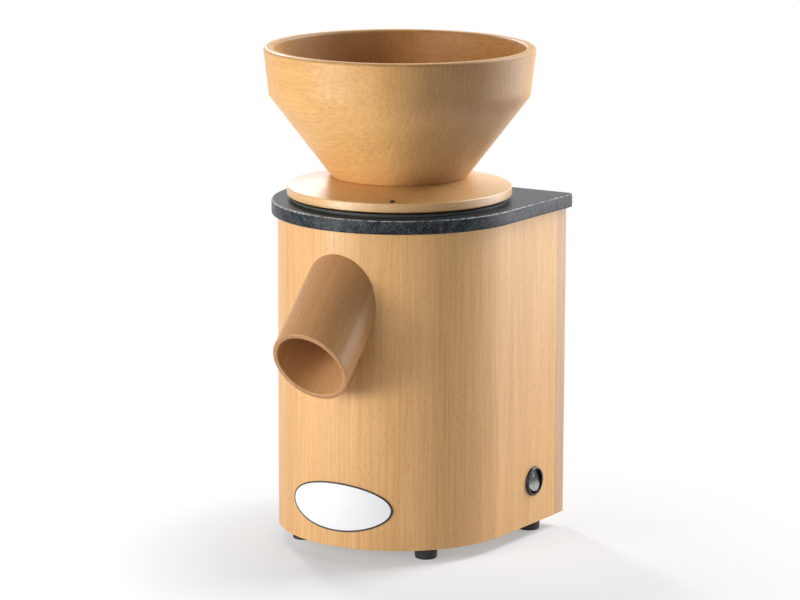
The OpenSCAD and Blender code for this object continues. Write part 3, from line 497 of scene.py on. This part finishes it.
layers = layers_group()
print("group:", layers.name, len(layers.nodes), "nodes")

# %% Makers that use these groups
FLECK_ROUGHER = 1.35
LINE_RELIEF = 0.01 * MM
JOINT_RELIEF = 0.1 * MM


def fleck_roughness(tree, mask, roughness):
    """The plain roughness, and a higher one where a fleck lies."""
    return remap(tree, mask, (0.0, 1.0), (roughness, min(1.0, FLECK_ROUGHER * roughness)))


def speckled(name, base, fleck, size, amount, roughness, depth, **constants):
    """Cast, moulded, rubber-like or gritty surfaces."""
    material, tree, shader = new_material(name, Roughness=roughness, **constants)
    where = add(tree, "TexCoord", {}, "Object")
    out = use_group(tree, speckle, {
        "Vector": where, "Base": rgba(*base), "Fleck": rgba(*fleck), "Size": size, "Amount": amount})
    rough = fleck_roughness(tree, out["Mask"], roughness)
    finish_shader(tree, shader, out["Color"], rough, out["Height"], depth)
    return material


def brushed_metal(name, base, fine, roughness):
    """Ground, turned or drawn metal; the lines cross the axis where "fine" is largest."""
    material, tree, shader = new_material(name, Metallic=1.0)
    where = add(tree, "TexCoord", {}, "Object")
    out = use_group(tree, brushed, {
        "Vector": where, "Base": rgba(*base), "Fine": fine, "Roughness": roughness})
    finish_shader(tree, shader, out["Color"], out["Roughness"], out["Height"], LINE_RELIEF)
    return material


def layered(name, sheet, joint, thickness, **constants):
    """Sheets stacked along Z."""
    material, tree, shader = new_material(name, **constants)
    where = add(tree, "TexCoord", {}, "Object")
    out = use_group(tree, layers, {
        "Vector": where, "Sheet": rgba(*sheet), "Joint": rgba(*joint), "Thickness": thickness})
    finish_shader(tree, shader, out["Color"], None, out["Height"], JOINT_RELIEF)
    return material


print("groups:", [g.name for g in bpy.data.node_groups])

# %% [markdown]
# ## The dark plate and its lighter edge
#
# The plate on top is dark, with blue-grey grains, and its rounded upper edge is lighter in
# small spots: partly wear, and partly a painted highlight where the edge would catch light. A
# picture of this would have to follow the outline. The surface itself tells more simply where
# the edge is: only there does it lean between upright and level, so the Z of its normal picks
# the edge out, and a noise breaks the lighter colour into spots.

# %% Plate with wear and a painted highlight on its edge
# the colour of the edge is wear and a painted highlight, both broken into spots
EDGE_WEAR_AND_HIGHLIGHT = rgba(0.46, 0.49, 0.51)
EDGE_LEAN = 0.62
EDGE_RIM = (0.15, 0.35)
WEAR_AND_HIGHLIGHT_SPOTS = (300, 300, 300)
SPOT_NOISE = (0.38, 0.56)


def worn_and_highlit_plate(name, base, fleck, size, amount, roughness, depth):
    """A speckled plate whose rounded upper edge is lighter in small spots, both wear and a painted
    highlight.
    """
    material, tree, shader = new_material(name, Specular_IOR_Level=0.15)
    coords = tree.nodes.new("ShaderNodeTexCoord").outputs
    out = use_group(tree, speckle, {
        "Vector": coords["Object"], "Base": rgba(*base), "Fleck": rgba(*fleck), "Size": size,
        "Amount": amount})
    lean = add(tree, "SeparateXYZ", {"Vector": coords["Normal"]}, 2)
    # the rounded edge gets wear and a painted highlight, in spots
    off = math_node(tree, "ABSOLUTE", math_node(tree, "SUBTRACT", lean, EDGE_LEAN))
    spots = noise(tree, scaled(tree, coords["Object"], WEAR_AND_HIGHLIGHT_SPOTS), 3.0)
    wear_and_highlight = math_node(tree, "MULTIPLY", remap(tree, off, EDGE_RIM, FALLING), remap(tree, spots, SPOT_NOISE))
    color = mix_color(tree, wear_and_highlight, out["Color"], EDGE_WEAR_AND_HIGHLIGHT)
    rough = fleck_roughness(tree, out["Mask"], roughness)
    finish_shader(tree, shader, color, rough, out["Height"], depth)
    return material


slate_plate = worn_and_highlit_plate(
    "slate_plate", base=(0.005, 0.007, 0.010), fleck=(0.080, 0.098, 0.113), size=1.4 * MM,
    amount=0.9, roughness=0.30, depth=0.3 * MM)
# the lighter edge is wear and a painted highlight
print("the worn edge is where the normal's Z is about", EDGE_LEAN)

# %% [markdown]
# ## Trim, plastic, rubber, felt and stone
#
# None of these surfaces is one flat colour. Moulded plastic has a faint grain, rubber is
# dull, felt is a little fluffy, and the millstones are full of light grit. One maker serves
# them all: the size of the grains, how much they differ and how deep they are tell these
# finishes apart.

# %% Speckled materials
grey_scale = speckled(
    "grey_scale", base=(0.085, 0.095, 0.090), fleck=(0.12, 0.13, 0.125), size=0.6 * MM,
    amount=0.6, roughness=0.4, depth=0.02 * MM, Specular_IOR_Level=0.3)
badge_white = speckled(
    "badge_white", base=(0.86, 0.86, 0.875), fleck=(0.89, 0.89, 0.90), size=0.6 * MM,
    amount=0.6, roughness=0.22, depth=0.01 * MM)
badge_black = speckled(
    "badge_black", base=(0.018, 0.018, 0.02), fleck=(0.035, 0.035, 0.04), size=0.6 * MM,
    amount=0.6, roughness=0.3, depth=0.01 * MM)
black_rubber = speckled(
    "black_rubber", base=(0.018, 0.018, 0.018), fleck=(0.045, 0.045, 0.043), size=0.7 * MM,
    amount=0.8, roughness=0.62, depth=0.1 * MM)
black_gloss = speckled(
    "black_gloss", base=(0.010, 0.011, 0.014), fleck=(0.02, 0.02, 0.024), size=0.8 * MM,
    amount=0.5, roughness=0.27, depth=0.008 * MM, Specular_IOR_Level=0.45)
black_plastic = speckled(
    "black_plastic", base=(0.02, 0.02, 0.02), fleck=(0.04, 0.04, 0.04), size=0.5 * MM,
    amount=0.7, roughness=0.45, depth=0.05 * MM)
grey_plastic = speckled(
    "grey_plastic", base=(0.10, 0.10, 0.105), fleck=(0.15, 0.15, 0.155), size=0.5 * MM,
    amount=0.6, roughness=0.45, depth=0.04 * MM)
white_plastic = speckled(
    "white_plastic", base=(0.74, 0.74, 0.72), fleck=(0.80, 0.80, 0.78), size=0.6 * MM,
    amount=0.6, roughness=0.4, depth=0.04 * MM)
ivory_plastic = speckled(
    "ivory_plastic", base=(0.74, 0.71, 0.60), fleck=(0.80, 0.77, 0.66), size=0.6 * MM,
    amount=0.6, roughness=0.38, depth=0.04 * MM)
amber_washer = speckled(
    "amber_washer", base=(0.62, 0.50, 0.26), fleck=(0.70, 0.60, 0.36), size=0.6 * MM,
    amount=0.6, roughness=0.35, depth=0.02 * MM)
lead_brown = speckled(
    "lead_brown", base=(0.16, 0.06, 0.03), fleck=(0.20, 0.09, 0.05), size=0.4 * MM,
    amount=0.6, roughness=0.4, depth=0.02 * MM)
lead_blue = speckled(
    "lead_blue", base=(0.03, 0.09, 0.34), fleck=(0.05, 0.12, 0.40), size=0.4 * MM,
    amount=0.6, roughness=0.4, depth=0.02 * MM)
felt = speckled(
    "felt", base=(0.62, 0.59, 0.52), fleck=(0.80, 0.77, 0.70), size=0.5 * MM,
    amount=1.0, roughness=0.95, depth=0.3 * MM)
mill_stone = speckled(
    "mill_stone", base=(0.58, 0.54, 0.46), fleck=(0.84, 0.81, 0.74), size=0.9 * MM,
    amount=1.0, roughness=0.85, depth=0.3 * MM)
print("materials so far:", len(bpy.data.materials) - frame_materials)

# %% [markdown]
# ## Metal, copper wire and plywood
#
# Inside are cast housings, turned shafts, ground races and drawn wire. Cast metal is
# speckled. The others get fine lines that run the way the tool did: round the axis on a
# turned shaft, along it on a drawn can. Laminated steel, wound copper and plywood are
# stacks, so the layers show at their edges.

# %% Metals and layered materials
ALONG_Z = (2500, 2500, 30)
ROUND_Z = (40, 40, 2500)

cast_alloy = speckled(
    "cast_alloy", base=(0.52, 0.53, 0.54), fleck=(0.68, 0.69, 0.70), size=0.8 * MM,
    amount=0.8, roughness=0.42, depth=0.12 * MM, Metallic=1.0)
zinc_screw = brushed_metal("zinc_screw", base=(0.62, 0.62, 0.60), fine=(900, 900, 900), roughness=0.32)
bright_steel = brushed_metal("bright_steel", base=(0.60, 0.60, 0.61), fine=ROUND_Z, roughness=0.24)
race_steel = brushed_metal("race_steel", base=(0.62, 0.63, 0.65), fine=ROUND_Z, roughness=0.12)
spring_wire = brushed_metal("spring_wire", base=(0.50, 0.50, 0.50), fine=(700, 700, 700), roughness=0.3)
brass_ring = brushed_metal("brass_ring", base=(0.72, 0.53, 0.22), fine=ROUND_Z, roughness=0.26)
terminal_brass = brushed_metal("terminal_brass", base=(0.70, 0.60, 0.36), fine=ALONG_Z, roughness=0.3)
grey_can = brushed_metal("grey_can", base=(0.62, 0.63, 0.64), fine=ALONG_Z, roughness=0.34)
core_steel = layered(
    "core_steel", sheet=(0.17, 0.18, 0.20), joint=(0.04, 0.04, 0.045), thickness=0.6 * MM,
    Metallic=0.7, Roughness=0.42)
copper_winding = layered(
    "copper_winding", sheet=(0.62, 0.25, 0.09), joint=(0.16, 0.05, 0.02), thickness=0.9 * MM,
    Metallic=0.8, Roughness=0.3)
plywood_base = layered(
    "plywood_base", sheet=(0.60, 0.42, 0.25), joint=(0.30, 0.18, 0.09), thickness=1.4 * MM,
    Roughness=0.6)
print("materials:", len(bpy.data.materials) - frame_materials)

# %% [markdown]
# ## Giving each piece its finish
#
# The record lists the finish of every piece. The table below is the other way round: for
# each material, the pieces that wear it. A piece that is missing from it would stay plain,
# so the cell counts them.

# %% Dress the pieces
FINISHES = {
    beech_shell: ["housing_shell"],
    beech_back: ["back_panel"],
    beech_turned: ["hopper_bowl"],
    beech_dial: ["dial_disc"],
    beech_spout: ["spout_tube"],
    dark_dowel: ["dial_mark"],
    plywood_base: ["base_plate", "base_blocks"],
    slate_plate: ["top_plate"],
    grey_scale: ["scale_ring"],
    badge_white: ["badge_plate"],
    badge_black: ["badge_border"],
    black_rubber: ["foot_front_left", "foot_front_right", "foot_rear_left", "foot_rear_right"],
    black_gloss: ["switch_body", "switch_rocker"],
    black_plastic: ["cord_gland", "gland_nut"],
    zinc_screw: ["foot_screws", "base_screws", "back_screws", "chamber_screws", "motor_bolts",
                 "capacitor_clamp", "stone_screws", "collar_screws", "hub_screw"],
    bright_steel: ["guide_pins", "motor_shaft", "throat_guard"],
    race_steel: ["upper_outer_race", "lower_outer_race", "upper_inner_race", "lower_inner_race",
                 "upper_balls", "lower_balls"],
    spring_wire: ["carrier_springs"],
    brass_ring: ["thread_ring"],
    terminal_brass: ["switch_terminals"],
    grey_can: ["run_capacitor"],
    cast_alloy: ["milling_chamber", "flour_duct", "upper_end_bell", "lower_end_bell", "stone_carrier",
                 "runner_hub"],
    core_steel: ["stator_core", "rotor_core"],
    copper_winding: ["stator_windings"],
    felt: ["chamber_seal"],
    mill_stone: ["upper_stone", "lower_stone"],
    grey_plastic: ["threaded_collar"],
    white_plastic: ["cooling_fan"],
    ivory_plastic: ["terminal_block"],
    amber_washer: ["thrust_washer"],
    lead_brown: ["switch_leads"],
    lead_blue: ["motor_leads"],
}

dressed = set()
for material, names in FINISHES.items():
    for name in names:
        mesh = nodes[name].data
        mesh.materials.clear()
        mesh.materials.append(material)
        dressed.add(name)
print("dressed", len(dressed), "of", len(nodes), "pieces; still plain:", sorted(set(nodes) - dressed))

# %% [markdown]
# ## Softened edges
#
# No real edge is perfectly sharp, and a thin highlight on an edge tells the eye how thick
# and how hard a piece is. The pieces of the frame keep their meshes, so the rounding is a
# stack of modifiers: one joins the seams between faces, one bevels every sharp edge, and one
# makes the shading follow the large faces. A flat board with many slots has long thin
# triangles between them, and so has a plate with a round outline. One more modifier merges
# these into whole faces first.

# %% Soften edges
SEAM = 0.02 * MM
FLAT_ANGLE = math.radians(0.5)
SHARP_ANGLE = math.radians(32)
FLAT_BOARDS = {"back_panel", "top_plate", "base_plate"}
EDGES_MM = {
    "housing_shell": 0.8, "back_panel": 0.8, "top_plate": 1.5, "spout_tube": 1.1, "hopper_bowl": 0.5,
    "dial_disc": 0.5, "badge_plate": 0.25, "badge_border": 0.2, "base_plate": 0.5, "switch_body": 0.35,
    "cord_gland": 0.4,
}


def soften(piece, width):
    """Rounds the sharp edges of a piece by modifiers, and leaves its mesh as it is."""
    piece.data.shade_smooth()
    weld = piece.modifiers.new("weld", "WELD")
    weld.merge_threshold = SEAM
    if piece.name in FLAT_BOARDS:
        flat = piece.modifiers.new("flat faces", "DECIMATE")
        flat.decimate_type = "DISSOLVE"
        flat.angle_limit = FLAT_ANGLE
    bevel = piece.modifiers.new("bevel", "BEVEL")
    bevel.width = width
    bevel.segments = 2
    bevel.limit_method = "ANGLE"
    bevel.angle_limit = SHARP_ANGLE
    bevel.use_clamp_overlap = piece.name not in FLAT_BOARDS
    normals = piece.modifiers.new("normals", "WEIGHTED_NORMAL")
    normals.keep_sharp = False


for node, width in EDGES_MM.items():
    soften(nodes[node], width * MM)
print("softened", len(EDGES_MM), "pieces")

# %% [markdown]
# ## Screws with a cross in the head
#
# The frame keeps its screws plain. Seen from behind and from below they deserve a real
# head, so new screws replace them: a turned profile with a thread, closed by a top face that
# has a cross-shaped pocket in it. Where each screw sits is read from the frame's own node,
# one box for each connected part of its mesh.


# %% Helpers for new pieces
def islands(node):
    """The box of each connected part of a node's mesh, as pairs of corners in a fixed order."""
    bm = bmesh.new()
    bm.from_mesh(nodes[node].data)
    bmesh.ops.remove_doubles(bm, verts=bm.verts, dist=0.001 * MM)
    left = set(bm.verts)
    boxes = []
    while left:
        queue = [left.pop()]
        places = []
        while queue:
            vert = queue.pop()
            places.append(vert.co.copy())
            near = {edge.other_vert(vert) for edge in vert.link_edges} & left
            left -= near
            queue.extend(near)
        low = Vector([min(place[i] for place in places) for i in range(3)])
        high = Vector([max(place[i] for place in places) for i in range(3)])
        boxes.append((low, high))
    bm.free()
    return sorted(boxes, key=lambda box: tuple(box[0]))


def new_piece(name, bm, material, body=None):
    """Turns a bmesh into an object that rides on a body, if one is given."""
    mesh = bpy.data.meshes.new(name)
    bmesh.ops.recalc_face_normals(bm, faces=bm.faces)
    bm.to_mesh(mesh)
    bm.free()
    piece = bpy.data.objects.new(name, mesh)
    mesh.materials.append(material)
    bpy.context.scene.collection.objects.link(piece)
    if body:
        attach(piece, body)
    return piece


def round_angles(count):
    """The angles of some points that are spread evenly round a circle."""
    return [2 * math.pi * i / count for i in range(count)]


for node in ("back_screws", "base_screws", "foot_screws"):
    print(node, "has", len(islands(node)), "screws")

# %% One turned screw
# sizes in millimetres
SCREW_SIDES = 24
CROSS_REACH = 2.3
CROSS_HALF = 0.45
CROSS_DEPTH = 1.3
CROSS_TAPER = 0.55
SHANK_R = 1.9
THREAD_DEPTH = 0.4
THREAD_PITCH = 1.5
THREAD_START = 1
THREAD_STOP = 2.5
TIP_LENGTH = 2
TIP_R = 0.15
SUNK_HEAD = [(3.55, 0), (3.8, 0.25), (SHANK_R, 2.1)]
PAN_HEAD = [(3.4, 0), (3.8, 0.4), (3.8, 2.2), (SHANK_R, 2.3)]


def cross_outline(scale):
    """The twelve corners of the pocket in a screw head."""
    corners = []
    for quarter in range(4):
        spin = Matrix.Rotation(quarter * math.pi / 2, 2)
        for x, y in ((CROSS_REACH, -CROSS_HALF), (CROSS_REACH, CROSS_HALF), (CROSS_HALF, CROSS_HALF)):
            corners.append(spin @ (scale * Vector((x, y))))
    return corners


def screw_profile(head, length):
    """Radius and depth pairs from the rim of the head to the tip, with a thread on the shank."""
    profile = list(head)
    depth = head[-1][1] + THREAD_START
    while depth < length - THREAD_STOP:
        profile += [(SHANK_R, depth), (SHANK_R - THREAD_DEPTH, depth + THREAD_PITCH / 2)]
        depth += THREAD_PITCH
    return profile + [(SHANK_R - THREAD_DEPTH, length - TIP_LENGTH), (TIP_R, length)]


def add_screw(bm, place, out, profile):
    """Adds one screw with its head at place, facing along out."""
    turn = Vector((0, 0, 1)).rotation_difference(out)

    def loop(points, depth):
        return [bm.verts.new(place + MM * (turn @ Vector((x, y, -depth)))) for x, y in points]

    def circle(radius):
        return [(radius * math.cos(a), radius * math.sin(a)) for a in round_angles(SCREW_SIDES)]

    def join(first, second):
        for i in range(len(first)):
            j = (i + 1) % len(first)
            bm.faces.new((first[i], first[j], second[j], second[i]))

    rings = [loop(circle(radius), depth) for radius, depth in profile]
    for first, second in zip(rings, rings[1:]):
        join(first, second)
    bm.faces.new(rings[-1])
    pocket_top = loop(cross_outline(1.0), 0)
    pocket_floor = loop(cross_outline(CROSS_TAPER), CROSS_DEPTH)
    join(pocket_top, pocket_floor)
    bm.faces.new(pocket_floor)
    rims = [bm.edges.get((ring[i - 1], ring[i])) or bm.edges.new((ring[i - 1], ring[i]))
            for ring in (rings[0], pocket_top) for i in range(len(ring))]
    bmesh.ops.triangle_fill(bm, edges=rims, use_beauty=True)


print("a sunk head is", 2 * SUNK_HEAD[1][0], "mm wide")


# %% Screws
def screws(name, node, out, head):
    """Replaces a node of plain screws by turned ones, each as long as the plain one."""
    bm = bmesh.new()
    out = Vector(out)
    for low, high in islands(node):
        center = (low + high) / 2
        half = abs((high - low).dot(out)) / 2
        add_screw(bm, center + half * out, out, screw_profile(head, 2 * half / MM))
    piece = new_piece(name, bm, zinc_screw, "root")
    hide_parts(node)
    print(name, "has", len(piece.data.polygons), "faces")


screws("cross_back_screws", "back_screws", (0, 1, 0), SUNK_HEAD)
screws("cross_base_screws", "base_screws", (0, 0, -1), SUNK_HEAD)
screws("cross_foot_screws", "foot_screws", (0, 0, -1), PAN_HEAD)

# %% [markdown]
# ## Wound springs
#
# Three springs press the stone carrier up against the dial's thread. The frame's springs are
# stiff coils, but real ones give when the dial lets the stone down. New ones replace them: a
# wire wound along a helix, whose first and last turn lie close, as on a real compression
# spring.

# %% Springs
SPRING_WIRE = 0.6 * MM
SPRING_TURNS = 7
TURN_STEPS = 24
WIRE_SIDES = 8


def spring_path(low, high):
    """The axis and the points on the middle of a spring's wire that just fills a box."""
    center = (low + high) / 2
    radius = max(high.x - low.x, high.y - low.y) / 2 - SPRING_WIRE
    bottom = low.z + SPRING_WIRE
    close_pitch = 2 * SPRING_WIRE
    open_turns = SPRING_TURNS - 2
    open_pitch = (high.z - SPRING_WIRE - bottom - 2 * close_pitch) / open_turns
    path = []
    for step in range(SPRING_TURNS * TURN_STEPS + 1):
        turns = step / TURN_STEPS
        opened = min(max(turns - 1, 0), open_turns)
        height = bottom + close_pitch * (turns - opened) + open_pitch * opened
        angle = 2 * math.pi * turns
        x = center.x + radius * math.cos(angle)
        y = center.y + radius * math.sin(angle)
        path.append(Vector((x, y, height)))
    return center, path


def add_wire(bm, center, path):
    """Sweeps a round wire along a path that goes round an upright axis."""
    rings = []
    for i, point in enumerate(path):
        along = path[min(i + 1, len(path) - 1)] - path[max(i - 1, 0)]
        outward = (point - Vector((center.x, center.y, point.z))).normalized()
        across = along.cross(outward).normalized()
        rings.append([bm.verts.new(point + SPRING_WIRE * (math.cos(a) * outward + math.sin(a) * across))
                      for a in round_angles(WIRE_SIDES)])
    for first, second in zip(rings, rings[1:]):
        for k in range(WIRE_SIDES):
            bm.faces.new((first[k - 1], first[k], second[k], second[k - 1]))
    bm.faces.new(rings[0])
    bm.faces.new(rings[-1])


def springs():
    """Winds the three springs as one piece, and returns their height."""
    bm = bmesh.new()
    for low, high in islands("carrier_springs"):
        add_wire(bm, *spring_path(low, high))
    piece = new_piece("wound_springs", bm, spring_wire)
    piece.data.shade_smooth()
    low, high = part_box("carrier_springs")
    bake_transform(piece)
    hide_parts("carrier_springs")
    return high.z - low.z


print("springs of", round(springs() / MM, 1), "mm")

# %% [markdown]
# ## A hollow rocker
#
# The frame's rocker has two flat halves that meet in a crease. A moulded one is hollowed out
# in one smooth curve, so that a finger finds it and light runs over it as a soft crescent.
# The new rocker is a copy of the frame's mesh. It is sliced into strips along the crease, and
# each point of its face sinks from the two flat halves onto a parabola through the same rim.

# %% Hollow rocker
PROBE = 4 * MM
PROBE_START = 50 * MM
SLICES = 12
FACE_MARGIN = 0.02 * MM
ROCKER_EDGE = 0.5 * MM


def probe(piece, above):
    """The place and the normal where a ray meets a piece, some way above the switch's middle."""
    start = middle("switch_rocker") + Vector((0, 0, above)) + PROBE_START * side_dir
    _, place, normal, _ = piece.ray_cast(start, -side_dir)
    return place, normal


def hollow_rocker():
    """Makes the new rocker; returns it and how far its face sinks at most."""
    flat = nodes["switch_rocker"]
    upper, upper_normal = probe(flat, PROBE)
    lower, lower_normal = probe(flat, -PROBE)
    out = (upper_normal + lower_normal).normalized()
    across = Vector((0, 0, 1)).cross(out).normalized()
    up = out.cross(across)
    slope = math.tan(out.angle(upper_normal))
    down_face = upper_normal.cross(across).normalized()
    crease = upper + (lower - upper).dot(lower_normal) / down_face.dot(lower_normal) * down_face
    bm = bmesh.new()
    bm.from_mesh(flat.data)
    bmesh.ops.remove_doubles(bm, verts=bm.verts, dist=FACE_MARGIN)
    reach = max(abs((vert.co - crease).dot(up)) for vert in bm.verts
                if (vert.co - crease).dot(out) > -FACE_MARGIN)
    for i in range(1 - SLICES, SLICES):
        bmesh.ops.bisect_plane(
            bm, geom=bm.verts[:] + bm.edges[:] + bm.faces[:], dist=FACE_MARGIN / 10,
            plane_co=crease + reach * i / SLICES * up, plane_no=up)
    for vert in bm.verts:
        away = abs((vert.co - crease).dot(up))
        if (vert.co - crease).dot(out) > slope * away - FACE_MARGIN:
            vert.co += slope * (away * away / reach - away) * out
    piece = new_piece("hollow_rocker", bm, black_gloss, "rocker")
    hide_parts("switch_rocker")
    soften(piece, ROCKER_EDGE)
    bpy.context.view_layer.update()
    return piece, slope * reach / 4


rocker, deepest = hollow_rocker()
print("the new face sinks by up to", round(deepest / MM, 2), "mm")

# %% [markdown]
# ## Marks on the switch
#
# A rocker carries a stroke and a ring, for on and off. Each mark is a thin round wire half
# sunk into the rocker. A ray shot at the rocker gives the place and the slope of its face.

# %% Switch marks
MARK_HEIGHT = 3.4 * MM
MARK_WIRE = 0.34 * MM
MARK_OFFSET = 5.2 * MM
RING_POINTS = 24
RING_ASPECT = 0.7


def switch_mark(name, above, points, cyclic):
    """Lays a drawn mark on the rocker's face, some way above its middle; returns its place."""
    place, normal = probe(rocker, above)
    across = Vector((0, 0, 1)).cross(normal).normalized()
    up = normal.cross(across)
    curve = bpy.data.curves.new(name, "CURVE")
    curve.dimensions = "3D"
    curve.bevel_depth = MARK_WIRE
    curve.bevel_resolution = 2
    curve.use_fill_caps = True
    line = curve.splines.new("POLY")
    line.points.add(len(points) - 1)
    for point, (x, y) in zip(line.points, points):
        point.co = (*(place + MARK_HEIGHT / 2 * (x * across + y * up)), 1)
    line.use_cyclic_u = cyclic
    piece = bpy.data.objects.new(name, curve)
    curve.materials.append(white_plastic)
    bpy.context.scene.collection.objects.link(piece)
    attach(piece, "rocker")
    return place


ring = [(RING_ASPECT * math.cos(a), math.sin(a)) for a in round_angles(RING_POINTS)]
stroke = [(0, -1), (0, 1)]
for place in (
        switch_mark("mark_off", MARK_OFFSET, ring, cyclic=True),
        switch_mark("mark_on", -MARK_OFFSET, stroke, cyclic=False)):
    print("a mark lies at", [round(c / MM, 1) for c in place], "mm")

# %% [markdown]
# ## Floor and background
#
# The mill stands on a pale floor that fades into a white background. A paper bow behind it
# would have to be lit evenly to look as white as this. Here the camera sees plain white,
# and only round the mill's foot the lit floor is mixed in, which keeps a soft shadow. The
# light that bounces back onto the wood comes from the pale floor alone, and the world
# itself lights the mill only a little.

# %% Floor and background
FLOOR_SIZE = 12
FLOOR_COLOR = rgba(0.81, 0.83, 0.86)
FADE_MIDDLE = (0.12, 0.0, 0)
FADE_DISTANCE = (0.16, 0.34)
FADE_WHITE = (0.35, 1.0)
AMBIENT = 0.04


def seen_directly(tree):
    """1 for the camera, reflections and glass, 0 for light that bounces."""
    path = tree.nodes.new("ShaderNodeLightPath").outputs
    seen = math_node(tree, "MAXIMUM", path["Is Camera Ray"], path["Is Glossy Ray"])
    return math_node(tree, "MAXIMUM", seen, path["Is Transmission Ray"])


def floor_surface(tree):
    """Plain white far away, and mostly lit paper round the mill's foot."""
    paper = add(tree, "BsdfDiffuse", {"Color": FLOOR_COLOR})
    white = add(tree, "Emission", {"Color": rgba(1, 1, 1), "Strength": 1.0})
    where = add(tree, "TexCoord", {}, "Object")
    distance = add(tree, "VectorMath", {0: where, 1: FADE_MIDDLE}, 1, operation="DISTANCE")
    fade = remap(tree, distance, FADE_DISTANCE, FADE_WHITE)
    camera_look = add(tree, "MixShader", {0: fade, 1: paper, 2: white})
    surface = add(tree, "MixShader", {0: seen_directly(tree), 1: paper, 2: camera_look})
    # seen from below, the floor is clear, so that the underside of the mill can be looked at
    below = add(tree, "NewGeometry", {}, "Backfacing")
    return add(tree, "MixShader", {0: below, 1: surface, 2: add(tree, "BsdfTransparent", {})})


def make_floor():
    """A large square that only sets the stage, and is no part of the mill."""
    mesh = bpy.data.meshes.new("floor")
    half = FLOOR_SIZE / 2
    corners = [(x * half, y * half, 0) for x, y in ((-1, -1), (1, -1), (1, 1), (-1, 1))]
    mesh.from_pydata(corners, [], [(0, 1, 2, 3)])
    floor = bpy.data.objects.new("floor", mesh)
    bpy.context.scene.collection.objects.link(floor)
    material = bpy.data.materials.new("floor")
    material.use_nodes = True
    tree = material.node_tree
    tree.nodes.remove(tree.nodes["Principled BSDF"])
    tree.links.new(floor_surface(tree), tree.nodes["Material Output"].inputs["Surface"])
    mesh.materials.append(material)


def make_world():
    """A world that looks white and gives little light."""
    world = bpy.data.worlds.new("studio")
    bpy.context.scene.world = world
    world.use_nodes = True
    tree = world.node_tree
    background = tree.nodes["Background"]
    strength = remap(tree, seen_directly(tree), (0.0, 1.0), (AMBIENT, 1.0))
    tree.links.new(strength, background.inputs["Strength"])
    background.inputs["Color"].default_value = rgba(1, 1, 1)


make_floor()
make_world()
print("a floor of", FLOOR_SIZE, "m and a world of strength", AMBIENT)

# %% [markdown]
# ## Light
#
# Every lamp is a white rectangle, because the warmth is in the wood. Two large ones and a
# small low one in front on the left shape the round front. A high one behind on the right
# lights the dial and the flat side. Below it, two lower ones put a sheen on that side and a
# third lights its foot, which leaves a darker zone between left and right. A small one behind
# on the left puts a sheen on the dial, cut off by the bowl's shadow.

# %% Lamps
TARGET = Vector((0, 0, 0.25))
# azimuth (0 is in front, 90 on the right), elevation, distance, width and height, watts
LAMPS = {
    "key": (-35, 20, 2.0, (0.8, 1.2), 5),
    "front": (-10, 10, 2.0, (1.0, 1.0), 12),
    "low_front": (-30, -3, 1.1, (0.35, 0.35), 6),
    "high_right": (150, 40, 2.0, (0.8, 1.2), 38),
    "side_sheen": (135, 3, 2.0, (0.3, 0.6), 9),
    "low_right": (152, -5, 1.1, (0.4, 0.30), 1.5),
    "low_side": (120, -5, 1.1, (0.4, 0.30), 1.1),
    "sheen_left": (-130, 30, 2.0, (0.25, 0.25), 14),
}


def softbox(name, azimuth, elevation, distance, size, watts):
    """A rectangular lamp that faces the mill."""
    data = bpy.data.lights.new(name, "AREA")
    data.shape = "RECTANGLE"
    data.size, data.size_y = size
    data.energy = watts
    lamp = bpy.data.objects.new(name, data)
    a, e = math.radians(azimuth), math.radians(elevation)
    away = Vector((math.sin(a) * math.cos(e), -math.cos(a) * math.cos(e), math.sin(e)))
    lamp.location = TARGET + distance * away
    lamp.rotation_euler = away.to_track_quat("Z", "Y").to_euler()
    bpy.context.scene.collection.objects.link(lamp)


for name, settings in LAMPS.items():
    softbox(name, *settings)

# %% [markdown]
# ## The end
#
# Standard shows each colour as it was chosen, with no film look on top.

# %% Plain colours and the end
bpy.context.scene.view_settings.view_transform = "Standard"
